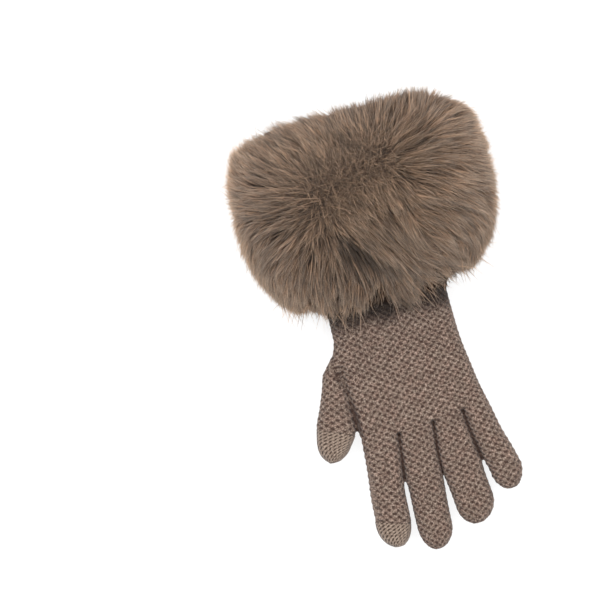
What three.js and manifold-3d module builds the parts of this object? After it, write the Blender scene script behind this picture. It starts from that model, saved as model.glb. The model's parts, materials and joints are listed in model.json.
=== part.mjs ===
// A woman's knitted glove with a long-pile fur cuff, lying on a surface as it was laid down.
// Frame: +Z up from the surface, +Y from the fingertips to the mouth of the cuff, and the origin on the
// surface under the middle of the glove's outline. The thumb is on the -X side. Millimetres.
// The knit is a hollow shell: the palm and wrist, the sleeve that runs on under the fur, four finger tubes
// and a thumb tube, with plain-knit caps on the thumb and the index finger. The fur is a pile of locks
// fused to the ring of backing that the sleeve passes through.

import * as THREE from "three";
import { mergeVertices } from "three/addons/utils/BufferGeometryUtils.js";
import Module from "manifold-3d";

const wasm = await Module();
wasm.setup();

// Driving dimensions
const KNIT_WALL = 2; // thickness of the knitted fabric
const PIECE_GAP = 0.3; // free space between neighbouring pieces
const FINGER_THICKNESS = 13.5; // an empty finger lying down, from the surface to its top
const CROWN = 0.8; // rise of a tube's upper side towards its middle
const FINGER_LINE = -73; // Y of the row of stitches where the finger tubes join the palm
const SLEEVE_START = 24; // Y of the row under the fur where the palm and wrist end and the sleeve goes on
const SLEEVE_END = 112; // Y of the sleeve's rim, inside the mouth of the cuff
const FUR_FROM = 4.5; // Y that the pile reaches over the wrist
const FUR_TO = 135; // Y that the pile reaches past the rim
const FUR_MIDDLE = 70; // Y of the fullest part of the pile
const PILE_SIDE = 38; // length of the pile at the cuff's two sides
const PILE_TOP = 30; // on its upper side
const PILE_UNDER = 22; // underneath, before the surface flattens it
const UNDERCOAT = 7; // the pile's dense body lies this far inside the ends of its locks
const LOCK_ROOT = 15; // depth in the pile at which a lock starts; it ends at the pile's outer form
const LOCK_RADIUS = 13; // of a lock at its root
const LOCK_SPACING = 20; // from lock to lock, round the pile and across it
const WHORL = { x: -8, y: 88 }; // the crown that the pile is combed away from

// Mesh fineness
const SLEEVE_SIDES = 24;
const FINGER_SIDES = 12;
const SLEEVE_STEP = 14; // length of one facet along the sleeve
const FINGER_STEP = 11; // along a finger
const DOME_STEPS = 4; // rings in a rounded fingertip
const FUR_SIDES = 24;
const FUR_ARC_STEPS = 10; // facets across the pile, from the wrist to the mouth
const FUR_BORE_STEPS = 4; // facets along the inside of the fur
const LOCK_SIDES = 5;

// The outline of the palm, wrist and sleeve, a row for each level along Y: left and right are X, bottom
// and top are Z. It lies flat at the palm and climbs to the middle of the fur's thickness.
const SLEEVE = [
  { y: SLEEVE_END, left: -42, right: 48, bottom: 10, top: 32 },
  { y: 70, left: -41, right: 46, bottom: 10, top: 31 },
  { y: 35, left: -39.5, right: 41.5, bottom: 8.5, top: 27.5 },
  { y: 10, left: -38.3, right: 38.3, bottom: 4.8, top: 22 },
  { y: -10, left: -38.6, right: 38.2, bottom: 1.4, top: 17 },
  { y: -28, left: -38.9, right: 39.5, bottom: 0, top: 14.5 },
  { y: -50, left: -38.9, right: 42.2, bottom: 0, top: 13.8 },
  { y: -64, left: -38.4, right: 44.9, bottom: 0, top: FINGER_THICKNESS },
  { y: -70.2, left: -38, right: 46, bottom: 0, top: FINGER_THICKNESS },
];
const CROTCH_SLANT = 0.1; // the palm's end runs this much nearer the cuff for each mm towards +X

// Each finger's outline. It starts inside the palm and is round from the last row to its tip.
const FINGERS = {
  index_finger: {
    tipX: -33.5,
    tipY: -143,
    rows: [
      { y: -60, left: -36.5, right: -15.5 },
      { y: -72, left: -38, right: -14.9 },
      { y: -88, left: -39.4, right: -17 },
      { y: -105, left: -41, right: -18.9 },
      { y: -126, left: -42.9, right: -19.5 },
    ],
  },
  middle_finger: {
    tipX: -8,
    tipY: -150.3,
    rows: [
      { y: -60, left: -13, right: 7 },
      { y: -72, left: -13.7, right: 7.9 },
      { y: -88, left: -15.9, right: 6.2 },
      { y: -105, left: -17.4, right: 5.4 },
      { y: -134, left: -18, right: 3.8 },
    ],
  },
  ring_finger: {
    tipX: 21.5,
    tipY: -141,
    rows: [
      { y: -60, left: 9.5, right: 27 },
      { y: -70, left: 9.1, right: 27.8 },
      { y: -88, left: 7.4, right: 29.3 },
      { y: -107, left: 7.4, right: 31.6 },
      { y: -125, left: 9, right: 33.2 },
    ],
  },
  little_finger: {
    tipX: 46.8,
    tipY: -125.5,
    rows: [
      { y: -58, left: 28.9, right: 43.5 },
      { y: -70, left: 28.9, right: 45.9 },
      { y: -86, left: 30.6, right: 49.6 },
      { y: -100, left: 33.6, right: 53.6 },
      { y: -110, left: 35.3, right: 56.2 },
    ],
  },
};

// The thumb's outline. Its upper half is joined to the palm's edge and its lower half lies beside it.
const THUMB = {
  tipX: -57,
  tipY: -81.3,
  rows: [
    { y: -9, left: -38.9, right: -33, bottom: 3, top: 15 },
    { y: -14, left: -41.2, right: -34, bottom: 1.5, top: 14.5 },
    { y: -19, left: -45.6, right: -36, bottom: 0.6, top: 14 },
    { y: -28, left: -51.2, right: -37.6, bottom: 0, top: FINGER_THICKNESS },
    { y: -38, left: -55.3, right: -38.4, bottom: 0, top: FINGER_THICKNESS },
    { y: -46, left: -58.6, right: -39.7, bottom: 0, top: FINGER_THICKNESS },
    { y: -58, left: -63.2, right: -39.9, bottom: 0, top: FINGER_THICKNESS },
    { y: -68, left: -65.6, right: -41.6, bottom: 0, top: FINGER_THICKNESS },
  ],
};
// The way from the palm's hollow into the thumb's, through both walls below the crease between them
const THUMB_WAY = { x: [-47.5, -33], y: [-41, -20], z: [3, 8.6] };

// The plain-knit caps: the Y where each begins on the middle of its finger, and its row's tilt in the plan
const CAPS = {
  index_tip: { on: "index_finger", x: -31.5, y: -126.2, tilt: -0.29 },
  thumb_tip: { on: "thumb", x: -54, y: -62.5, tilt: -0.42 },
};

// Arithmetic on tables and sections

// The row of a table at level y, each column on a smooth curve through the table's own rows.
function rowAt(rows, y) {
  const span = (i, j) => rows[j].y - rows[i].y;
  const last = rows.length - 1;
  let i = 0;
  while (i < last - 1 && (rows[i + 1].y - y) * span(i, i + 1) < 0) i += 1;
  const t = (y - rows[i].y) / span(i, i + 1);
  const before = Math.max(i - 1, 0);
  const after = Math.min(i + 2, last);
  const out = { y };
  for (const key of Object.keys(rows[i])) {
    if (key === "y") continue;
    const slopeHere = (rows[i + 1][key] - rows[before][key]) / span(before, i + 1);
    const slopeNext = (rows[after][key] - rows[i][key]) / span(i, after);
    const h00 = 2 * t ** 3 - 3 * t ** 2 + 1;
    const h10 = t ** 3 - 2 * t ** 2 + t;
    const h01 = 3 * t ** 2 - 2 * t ** 3;
    const h11 = t ** 3 - t ** 2;
    out[key] =
      h00 * rows[i][key] +
      h01 * rows[i + 1][key] +
      span(i, i + 1) * (h10 * slopeHere + h11 * slopeNext);
  }
  if ("bottom" in out) out.bottom = Math.max(out.bottom, 0);
  return out;
}

// A point on a stadium outline of half-width a and half-height b, and its outward normal. share runs
// from 0 at the middle of the upper side, through +X, once round.
function stadium(share, a, b) {
  const flat = Math.max(a - b, 0);
  const round = Math.PI * b;
  let d = (share - Math.floor(share)) * (4 * flat + 2 * round);
  const mirrored = d > 2 * flat + round;
  if (mirrored) d = 4 * flat + 2 * round - d;
  let x = d;
  let turn = 0;
  if (d > flat + round) {
    x = 2 * flat + round - d;
    turn = Math.PI;
  } else if (d > flat) {
    x = flat;
    turn = (d - flat) / b;
  }
  const side = mirrored ? -1 : 1;
  const normal = { x: side * Math.sin(turn), z: Math.cos(turn) };
  return { x: side * x + b * normal.x, z: b * normal.z, normal };
}

// One closed ring of a knitted tube at a table's row, moved inwards by inset (outwards if negative).
function tubeRing(row, sides, inset) {
  const a = (row.right - row.left) / 2 - inset;
  const b = (row.top - row.bottom) / 2 - inset;
  const x = (row.right + row.left) / 2;
  const z = (row.top + row.bottom) / 2;
  const slant = row.slant ?? 0;
  return Array.from({ length: sides }, (_, k) => {
    const p = stadium((k + 0.5) / sides, a, b);
    const crown = p.z > 0 ? CROWN * (p.z / b) * (1 - (p.x / a) ** 2) : 0;
    return new THREE.Vector3(x + p.x, row.y + slant * (x + p.x), z + p.z + crown);
  });
}

// A closed surface through rings of equal length, with flat ends.
function loftGeometry(rings) {
  const sides = rings[0].length;
  const points = rings.flat();
  const middle = (ring) => ring.reduce((sum, p) => sum.add(p), new THREE.Vector3()).divideScalar(sides);
  const first = points.push(middle(rings[0])) - 1;
  const end = points.push(middle(rings.at(-1))) - 1;
  const lastRing = (rings.length - 1) * sides;
  const faces = [];
  for (let k = 0; k < sides; k += 1) {
    const next = (k + 1) % sides;
    for (let j = 0; j < rings.length - 1; j += 1) {
      const a = j * sides;
      const b = a + sides;
      faces.push(a + k, a + next, b + k, a + next, b + next, b + k);
    }
    faces.push(first, next, k, end, lastRing + k, lastRing + next);
  }
  const geometry = new THREE.BufferGeometry().setFromPoints(points);
  geometry.setIndex(faces);
  return geometry;
}

// A closed three.js geometry as a solid that can be joined and cut. A loft that runs the other way
// round has its faces turned.
function solidFrom(geometry) {
  const bare = new THREE.BufferGeometry();
  bare.setAttribute("position", geometry.getAttribute("position"));
  bare.setIndex(geometry.getIndex());
  const merged = mergeVertices(bare, 1e-4);
  const make = (triVerts) =>
    new wasm.Manifold(
      new wasm.Mesh({ numProp: 3, vertProperties: merged.attributes.position.array, triVerts }),
    );
  const faces = new Uint32Array(merged.index.array);
  const solid = make(faces);
  return solid.volume() > 0 ? solid : make(faces.reverse());
}

function solidBox(x, y, z, turn = 0) {
  const box = new THREE.BoxGeometry(x[1] - x[0], y[1] - y[0], z[1] - z[0]);
  box.translate((x[0] + x[1]) / 2, (y[0] + y[1]) / 2, (z[0] + z[1]) / 2);
  box.rotateZ(turn);
  return solidFrom(box);
}

function levels(from, to, step) {
  const count = Math.max(Math.round(Math.abs(to - from) / step), 1);
  return Array.from({ length: count + 1 }, (_, i) => from + ((to - from) * i) / count);
}

// The knitted shell

// The palm, wrist and sleeve as one solid. inset 0 is their outer skin and KNIT_WALL their hollow, which
// runs on out through the rim by past.
function sleeveSolid(inset, past = 0) {
  const last = SLEEVE.at(-1);
  const rows = levels(SLEEVE_END, last.y + inset, SLEEVE_STEP).map((y) => rowAt(SLEEVE, y));
  if (past) rows.unshift({ ...rows[0], y: SLEEVE_END + past });
  const slantFrom = SLEEVE.at(-3).y;
  for (const row of rows) {
    row.slant = CROTCH_SLANT * Math.max((slantFrom - row.y) / (slantFrom - last.y), 0);
  }
  return solidFrom(loftGeometry(rows.map((row) => tubeRing(row, SLEEVE_SIDES, inset))));
}

// A finger or the thumb as one solid, with a rounded end.
function fingerSolid({ rows, tipX, tipY }, inset) {
  const full = rows.map((row) => ({ bottom: 0, top: FINGER_THICKNESS, ...row }));
  const start = full.at(-1);
  const rings = levels(full[0].y, start.y, FINGER_STEP).map((y) =>
    tubeRing(rowAt(full, y), FINGER_SIDES, inset),
  );
  const middle = (start.left + start.right) / 2;
  const height = (start.bottom + start.top) / 2;
  const reach = tipY + inset - start.y;
  for (let i = 1; i <= DOME_STEPS; i += 1) {
    const angle = (Math.PI / 2) * (i / (DOME_STEPS + 0.25));
    const wide = Math.cos(angle);
    const drift = (tipX - middle) * (1 - wide);
    const low = Math.sqrt(wide);
    const row = {
      y: start.y + reach * Math.sin(angle),
      left: middle + drift + (start.left + inset - middle) * wide,
      right: middle + drift + (start.right - inset - middle) * wide,
      bottom: height + (start.bottom + inset - height) * low,
      top: height + (start.top - inset - height) * low,
    };
    rings.push(tubeRing(row, FINGER_SIDES, 0));
  }
  return solidFrom(loftGeometry(rings));
}

const FAR = 400; // beyond the glove on every side
const fingerSkins = Object.values(FINGERS).map((finger) => fingerSolid(finger, 0));
const fingerHollows = Object.values(FINGERS).map((finger) => fingerSolid(finger, KNIT_WALL));
// All that lies between two rows of stitches, less half the gap at each
const between = (fromY, toY) =>
  solidBox([-FAR, FAR], [fromY + PIECE_GAP / 2, toY - PIECE_GAP / 2], [-FAR, FAR]);

const pieces = {};
const sleeveSkin = sleeveSolid(0);
const sleeveHollow = sleeveSolid(KNIT_WALL, 5);
const thumbWay = solidBox(THUMB_WAY.x, THUMB_WAY.y, THUMB_WAY.z);
pieces.palm = fingerHollows.reduce(
  (solid, hollow) => solid.subtract(hollow),
  fingerSkins
    .reduce((solid, skin) => solid.add(skin), sleeveSkin)
    .intersect(between(FINGER_LINE, SLEEVE_START))
    .subtract(sleeveHollow)
    .subtract(thumbWay),
);
pieces.sleeve = sleeveSkin.subtract(sleeveHollow).intersect(between(SLEEVE_START, FAR));
Object.keys(FINGERS).forEach((name, i) => {
  pieces[name] = fingerSkins[i].subtract(fingerHollows[i]).intersect(between(-FAR, FINGER_LINE));
});
pieces.thumb = fingerSolid(THUMB, 0)
  .subtract(fingerSolid(THUMB, KNIT_WALL))
  .subtract(thumbWay)
  .subtract(sleeveSolid(-PIECE_GAP));

// A finger is cut in two along a tilted row: the cap is what lies past it.
for (const [name, { on, x, y, tilt }] of Object.entries(CAPS)) {
  const turn = Math.atan(tilt);
  const row = y * Math.cos(turn) - x * Math.sin(turn);
  const past = solidBox([-FAR, FAR], [-FAR, row - PIECE_GAP / 2], [-FAR, FAR], turn);
  const before = solidBox([-FAR, FAR], [row + PIECE_GAP / 2, FAR], [-FAR, FAR], turn);
  pieces[name] = pieces[on].intersect(past);
  pieces[on] = pieces[on].intersect(before);
}

// The fur cuff

// A point of the fur's outer form. round runs once round the sleeve as a stadium's share does, and across
// runs from -1 at the wrist to 1 at the mouth. depth is how far inside the form the point is.
function furPoint(round, across, depth) {
  const towardsMouth = across > 0;
  const angle = (Math.PI / 2) * Math.abs(across);
  const power = towardsMouth ? 0.78 : 0.98; // squarer at the mouth's corners than at the wrist's
  const bulge = Math.cos(angle) ** power;
  const lip = towardsMouth ? 7 : 1.2; // thickness left at the pile's two ends
  const guess = stadium(round, 44, 10).normal;
  const sideways = Math.abs(guess.x) ** 1.5;
  const reach = towardsMouth ? FUR_TO - FUR_MIDDLE - 4 * sideways : FUR_MIDDLE - FUR_FROM - 7 * sideways;
  const y = FUR_MIDDLE + Math.sign(across) * (reach - depth) * Math.sin(angle) ** power;
  const row = rowAt(SLEEVE, Math.min(y, SLEEVE_END));
  const p = stadium(round, (row.right - row.left) / 2, (row.top - row.bottom) / 2);
  const upright = guess.z > 0 ? PILE_TOP : PILE_UNDER;
  const pile = upright + (PILE_SIDE - upright) * guess.x ** 2;
  const out = PIECE_GAP + lip + Math.max(pile - depth - lip, 0) * bulge;
  return new THREE.Vector3(
    (row.left + row.right) / 2 + p.x + out * p.normal.x,
    y,
    (row.bottom + row.top) / 2 + p.z + out * p.normal.z,
  );
}

// The inside of the fur, which follows the sleeve and flares past its rim.
function borePoint(round, share) {
  const from = FUR_FROM + 4;
  const y = FUR_TO - 5 + (from - FUR_TO + 5) * share;
  const row = rowAt(SLEEVE, Math.min(y, SLEEVE_END));
  const p = stadium(round, (row.right - row.left) / 2, (row.top - row.bottom) / 2);
  const out = PIECE_GAP + 6 * Math.max((y - SLEEVE_END) / (FUR_TO - SLEEVE_END), 0);
  return new THREE.Vector3(
    (row.left + row.right) / 2 + p.x + out * p.normal.x,
    y,
    (row.bottom + row.top) / 2 + p.z + out * p.normal.z,
  );
}

// The ring of pile round its backing: a closed profile carried once round the sleeve.
function furRing(depth) {
  const profiles = Array.from({ length: FUR_SIDES }, (_, k) => {
    const round = (k + 0.5) / FUR_SIDES;
    const outer = levels(-1, 1, 2 / FUR_ARC_STEPS).map((across) => furPoint(round, across, depth));
    const inner = levels(0, 1, 1 / FUR_BORE_STEPS).map((share) => borePoint(round, share));
    return [...outer, ...inner];
  });
  const count = profiles[0].length;
  const faces = [];
  for (let k = 0; k < FUR_SIDES; k += 1) {
    const here = k * count;
    const there = ((k + 1) % FUR_SIDES) * count;
    for (let j = 0; j < count; j += 1) {
      const next = (j + 1) % count;
      faces.push(here + j, there + j, here + next, here + next, there + j, there + next);
    }
  }
  const geometry = new THREE.BufferGeometry().setFromPoints(profiles.flat());
  geometry.setIndex(faces);
  return solidFrom(geometry);
}

// The shares of a curve that lie an equal distance apart, about spacing. The first is offset of one
// such distance from the curve's start.
function evenShares(curve, spacing, offset) {
  const samples = levels(0, 1, 1 / 240);
  const lengths = [0];
  for (let i = 1; i < samples.length; i += 1) {
    lengths.push(lengths[i - 1] + curve(samples[i]).distanceTo(curve(samples[i - 1])));
  }
  const count = Math.round(lengths.at(-1) / spacing);
  return Array.from({ length: count }, (_, k) => {
    const wanted = ((k + offset) / count) * lengths.at(-1);
    return samples[lengths.findIndex((length) => length >= wanted)];
  });
}

// One lock: a tapering wisp that stands out of the pile and bends the way it is combed. size scales it.
function lockSolid(round, across, size) {
  const step = 0.02;
  const root = furPoint(round, across, LOCK_ROOT);
  const ahead = furPoint(round, Math.min(across + step, 1), LOCK_ROOT);
  const behind = furPoint(round, Math.max(across - step, -1), LOCK_ROOT);
  const onward = furPoint(round + step, across, LOCK_ROOT).sub(furPoint(round - step, across, LOCK_ROOT));
  const normal = onward.cross(ahead.sub(behind)).normalize();
  if (normal.dot(furPoint(round, across, 0).sub(root)) < 0) normal.negate();
  const comb = new THREE.Vector3(root.x - WHORL.x, root.y - WHORL.y, 0);
  comb.multiplyScalar(1 / Math.max(comb.length(), 30));
  const start = normal.clone().addScaledVector(comb, 0.6).normalize();
  const finish = normal.clone().addScaledVector(comb, 1.6).normalize();
  const half = (size * LOCK_ROOT) / (start.dot(normal) + finish.dot(normal));
  const middle = root.clone().addScaledVector(start, half);
  const tip = middle.clone().addScaledVector(finish, half);
  const wide = new THREE.Vector3().crossVectors(start, new THREE.Vector3(0.3, 0.2, 0.93)).normalize();
  const thick = new THREE.Vector3().crossVectors(start, wide);
  const ring = (centre, radius) =>
    Array.from({ length: LOCK_SIDES }, (_, k) => {
      const angle = (2 * Math.PI * k) / LOCK_SIDES;
      return centre
        .clone()
        .addScaledVector(wide, radius * Math.cos(angle))
        .addScaledVector(thick, 0.75 * radius * Math.sin(angle));
    });
  const rings = [ring(root, LOCK_RADIUS), ring(middle, LOCK_RADIUS * 0.72), ring(tip, LOCK_RADIUS * 0.1)];
  return solidFrom(loftGeometry(rings));
}

let fur = furRing(UNDERCOAT);
const overTheTop = (share) => furPoint(0, 2 * share - 1, UNDERCOAT);
evenShares(overTheTop, LOCK_SPACING, 0.5).forEach((share, row) => {
  const across = 2 * share - 1;
  const once = (round) => furPoint(round, across, UNDERCOAT);
  evenShares(once, LOCK_SPACING, row % 2 ? 0.75 : 0.25).forEach((round, k) => {
    const size = 1.15 + 0.15 * Math.sin(2.4 * k + 1.7 * row);
    if (once(round).z > 6) fur = fur.add(lockSolid(round, across, size));
  });
});
const underSurface = solidBox([-FAR, FAR], [-FAR, FAR], [-FAR, 0]);
const trimmedFur = fur.subtract(underSurface).subtract(sleeveSolid(-PIECE_GAP)).subtract(sleeveHollow);
// Lock ends that the sleeve cuts off are dropped.
pieces.fur_cuff = trimmedFur.decompose().reduce((a, b) => (a.volume() > b.volume() ? a : b));

// The glove, each piece a mesh of its own

const knitColour = 0x7f6c61;
const capColour = 0x8e7d71;
const furColour = 0x756456;
const finishes = {
  knit: new THREE.MeshStandardMaterial({ color: knitColour, roughness: 0.95, metalness: 0 }),
  cap: new THREE.MeshStandardMaterial({ color: capColour, roughness: 0.9, metalness: 0 }),
  fur: new THREE.MeshStandardMaterial({ color: furColour, roughness: 0.8, metalness: 0 }),
};

function finishOf(name) {
  if (name === "fur_cuff") return finishes.fur;
  return name in CAPS ? finishes.cap : finishes.knit;
}

const glove = new THREE.Group();
for (const [name, solid] of Object.entries(pieces)) {
  const { vertProperties, triVerts } = solid.getMesh();
  const geometry = new THREE.BufferGeometry();
  geometry.setAttribute("position", new THREE.BufferAttribute(vertProperties, 3));
  geometry.setIndex(new THREE.BufferAttribute(triVerts, 1));
  geometry.computeVertexNormals();
  const mesh = new THREE.Mesh(geometry, finishOf(name));
  mesh.name = name;
  glove.add(mesh);
}

// The origin goes under the middle of the outline, on the surface.
const outline = new THREE.Box3().setFromObject(glove);
const middle = outline.getCenter(new THREE.Vector3());
glove.position.set(-middle.x, -middle.y, -outline.min.z);

export default glove;
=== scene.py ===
"""The looks of a fur-cuff knit glove, worked out around its packed construction model.

Lengths inside the functions are millimetres in the glove's own table frame: X across the palm with the thumb
on the -X side, Y from the fingertips to the cuff's mouth, Z up from the surface. mesh_object() takes them to
the row frame in metres, by the place of the face that the glove rests on.
"""
import json

import bmesh
import bpy
import numpy as np
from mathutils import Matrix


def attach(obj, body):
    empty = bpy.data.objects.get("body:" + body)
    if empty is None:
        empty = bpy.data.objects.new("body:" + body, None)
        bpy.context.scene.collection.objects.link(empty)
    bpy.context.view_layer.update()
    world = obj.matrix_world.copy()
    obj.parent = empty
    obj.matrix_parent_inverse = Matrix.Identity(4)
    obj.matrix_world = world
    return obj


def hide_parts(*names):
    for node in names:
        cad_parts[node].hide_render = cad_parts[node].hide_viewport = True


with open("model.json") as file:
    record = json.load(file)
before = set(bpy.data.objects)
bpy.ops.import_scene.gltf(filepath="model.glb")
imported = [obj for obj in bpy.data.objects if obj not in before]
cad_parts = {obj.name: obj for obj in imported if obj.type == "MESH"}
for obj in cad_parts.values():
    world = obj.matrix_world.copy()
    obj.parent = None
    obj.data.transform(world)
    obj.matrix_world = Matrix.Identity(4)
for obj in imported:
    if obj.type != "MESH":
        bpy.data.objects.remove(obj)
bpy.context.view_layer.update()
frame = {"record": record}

bl_info = {
    "name": "Fur-cuff knit glove",
    "version": (1, 0, 0),
    "blender": (4, 5, 0),
    "location": "3D View > Sidebar > Glove",
    "description": "Makes the knitted skin, fingertip caps and fur pile of a dress glove",
    "category": "Mesh",
}

MM = 0.001
BODY = "root"

# The middle of the rest face lies here in the table frame, and the record says where it is in the row frame
REST_FACE_AT = np.array([0.0, -50.0, 0.0])
REST_FACE = np.array(frame["record"]["mounts"][0]["pos_m"]) / MM
SHIFT = REST_FACE - REST_FACE_AT

# Outline tables, a row for each level along Y
COLUMNS = ("y", "left", "right", "bottom", "top")
SLEEVE = (
    (112, -42, 48, 10, 32),
    (70, -41, 46, 10, 31),
    (35, -39.5, 41.5, 8.5, 27.5),
    (10, -38.3, 38.3, 4.8, 22),
    (-10, -38.6, 38.2, 1.4, 17),
    (-28, -38.9, 39.5, 0, 14.5),
    (-50, -38.9, 42.2, 0, 13.8),
    (-64, -38.4, 44.6, 0, 13.5),
    (-70.2, -38, 45.2, 0, 13.5),
)
FLAT = (0, 13.5)  # bottom and top of an empty finger lying down
FINGERS = {
    "index_finger": {
        "tip": (-31.4, -141.2),
        "rows": (
            (-60, -36.5, -14.5),
            (-72, -38, -13.9),
            (-88, -39.4, -15.9),
            (-99, -40.4, -17.8),
            (-108, -41.4, -19.6),
            (-126, -42.9, -21),
        ),
    },
    "middle_finger": {
        "tip": (-8, -149),
        "rows": (
            (-60, -14, 8.4),
            (-72, -14.5, 8.8),
            (-88, -16.5, 7.1),
            (-99, -17.3, 6.3),
            (-110, -17, 5.3),
            (-134, -17.8, 3.8),
        ),
    },
    "ring_finger": {
        "tip": (20, -139.8),
        "rows": (
            (-60, 8.6, 28),
            (-70, 8.3, 28.9),
            (-88, 6.6, 30.6),
            (-99, 6.5, 32.2),
            (-110, 7.6, 32),
            (-125, 9, 33.2),
        ),
    },
    "little_finger": {
        "tip": (46.2, -124),
        "rows": ((-58, 27.9, 43.5), (-70, 28.2, 45.9), (-86, 30, 49.4), (-98, 32, 52.8), (-110, 35.4, 56)),
    },
}
THUMB = {
    "tip": (-57.8, -79.9),
    "taper": 0.56,
    "rows": (
        (-7, -38.6, -16, 3, 15),
        (-14, -41.2, -20, 1.5, 14.7),
        (-19, -45.6, -28, 0.6, 14.2),
        (-25, -50, -37.6, 0, 13.7),
        (-38, -55.3, -38.2, 0, 13.5),
        (-46, -58.6, -38.2, 0, 13.5),
        (-54, -62.2, -38.2, 0, 13.5),
        (-62, -64.4, -38.8, 0, 13.5),
        (-66, -65.2, -40.2, 0, 13.5),
        (-70, -65.4, -42.9, 0, 13.5),
        (-73, -64.9, -45.3, 0, 13.2),
    ),
}
TUBES = {**FINGERS, "thumb": THUMB}
# A cap begins where its row crosses the point (x, y), and the row is tilted in the plan
CAPS = {
    "index_cap": {"on": "index_finger", "node": "index_tip", "at": (-31.5, -126.2), "tilt": -0.29},
    "thumb_cap": {"on": "thumb", "node": "thumb_tip", "at": (-54, -62.5), "tilt": -0.42},
}
PALM_STITCHES = 34  # once round the palm and sleeve
PALM_MIDDLE = 4  # X of the palm's middle at the fingers
CROWN = 0.8  # rise of a tube's upper side towards its middle
CROTCH_SLANT = 0.1  # the palm's last rows run this much nearer the cuff for each mm towards +X
CROTCH_LEVEL = -70.5  # Y of the crotch row at x = 0
CREASE_WIDTH = 1.2  # of the shaded fold between two tubes that touch
THUMB_EDGE = -37.5  # X of the crease between the thumb and the palm
THUMB_CROTCH = 4.8  # how much nearer the thumb's middle that crease starts
THUMB_FROM = -10  # Y below which the thumb's side of that crease belongs to the thumb
SLEEVE_START = 24  # Y of the row under the fur where the palm and wrist end and the sleeve goes on
SLEEVE_END = 112  # Y of the rim
KNIT_WALL = 2
PIECE_GAP = 0.3
ON_TABLE = 0.02  # the knit's lowest points are this far above the surface
SKIN_STEP, SKIN_SIDES = 2.0, 72  # of the tubes that the skin is fused from
HOLLOW_STEP, HOLLOW_SIDES = 5.0, 24  # of the tubes that hollow it out
LINING_ROWS, LINING_SIDES = 64, 170
CAP_STEP = 0.4  # between a cap's rings
CAP_WIDTH = 12  # a fifth of a cap's own girth
CAP_COLUMNS = 6  # points for each of a cap's stitches

# The pile's outer form
FUR_FROM, FUR_MIDDLE, FUR_TO = 4.5, 70, 135
PILE_SIDE, PILE_TOP, PILE_UNDER = 38, 30, 22
PILE_ON = -20  # the pile follows the sleeve's section down to this Y
SLEEVE_GUESS = (44.0, 10.0)  # rough half-sizes of the sleeve, for the way its sides face
MOUTH_POWER, WRIST_POWER = 0.78, 0.98  # the lower, the squarer the pile's arch there
MOUTH_LIP, WRIST_LIP = 7, 1.2  # the least that the pile stands off the sleeve
MOUTH_ROUND, WRIST_ROUND = 4, 7  # how much sooner the pile ends at its two sides
CROWN_LINE = np.array([[-22.0, 84.0], [12.0, 96.0]])  # the hair is combed away from this line on the top
COMBED_FLAT = 42  # distance from that line at which the hair lies down
CROWN_CROSSING = 0.85  # how much the locks at the crown lie every way
PARTING = np.array([[-19.0, 47.5], [-2.0, 34.0]])  # a dent where the hair parts over the wrist
PARTING_WIDTH = 4.2
PARTING_DEPTH = 0.8  # share of the hair and of its rise that is missing there
PARTING_ABOVE = 20  # it is only in the upper side, above this height
WISP_SPREAD = (0.6, 0.3, 0.35)  # how far a wisp's strands stand from its own root, middle and tip
ROOT_RUN, ROOT_CLIMB = 0.4, 0.66  # shares of a strand's way along the comb and up, at its middle
# The dark hollows under the wrist's locks: X, half-width, and how far back the hair ends there
HOLLOWS = ((31, 10.5, 1), (-4, 10, 1), (-28.5, 10.5, 0.65))
SLEEVE_EDGES, EDGE_WIDTH = (46, -47), 12  # X of the sleeve's two edges under the pile's end
STRAY_FROM = 0.45  # from this far across to the wrist end some single hairs run on over the knit
STRAY_SHARE = 0.22  # of the loose hair there
STRAY_REACH = (3, 17)  # how far they run on
WRIST_LOCKS = 0.6  # from this far across to the wrist end the hair hangs in separate pointed locks
OVERHANG = 15  # how far the locks that hang most reach on over the knit
DROOP = 4  # how far they sink there
# When a strand looks for its lock, this much of a distance counts, and this much more across the comb
LOCK_NEARNESS, LOCK_ACROSS = 0.45, 0.8

# The picture
PICTURE_MIDDLE = np.array([-52.2, 24.4, 0.0])  # the place that the picture's middle shows
SENSOR_WIDTH = 36
TABLE_HALF = 3.0 / MM
# Each lamp's name, place and size in metres, and watts
LAMPS = (("key", (-0.7, 0.9, 1.4), 1.1, 17.0), ("fill", (0.9, 0.2, 1.5), 1.2, 10.0))


# Numbers


def columns(rows, names=COLUMNS):
    """A table's rows as one array for each named column."""
    return dict(zip(names, np.array(rows, float).T))


def along(table, y):
    """A table's columns at the levels y, on a smooth curve through the table's own rows.

    Between two rows it is the cubic that leaves each row with the slope from the row before it to the row
    after it, as a hand-drawn outline does.
    """
    at = table["y"]
    y = np.asarray(y, float)
    last = len(at) - 1
    i = np.clip(np.searchsorted(-at, -y, side="right") - 1, 0, last - 1)  # the levels fall
    before, after = np.maximum(i - 1, 0), np.minimum(i + 2, last)
    span = at[i + 1] - at[i]
    t = (y - at[i]) / span
    out = {"y": y}
    for name, values in table.items():
        if name == "y":
            continue
        slope_here = (values[i + 1] - values[before]) / (at[i + 1] - at[before])
        slope_next = (values[after] - values[i]) / (at[after] - at[i])
        out[name] = (
            (2 * t**3 - 3 * t**2 + 1) * values[i]
            + (3 * t**2 - 2 * t**3) * values[i + 1]
            + span * ((t**3 - 2 * t**2 + t) * slope_here + (t**3 - t**2) * slope_next)
        )
    out["bottom"] = np.maximum(out["bottom"], 0)
    return out


def section(row):
    """A row's middle and half-sizes: x, half-width a, z, half-height b."""
    return (
        (row["left"] + row["right"]) / 2,
        (row["right"] - row["left"]) / 2,
        (row["bottom"] + row["top"]) / 2,
        (row["top"] - row["bottom"]) / 2,
    )


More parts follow.
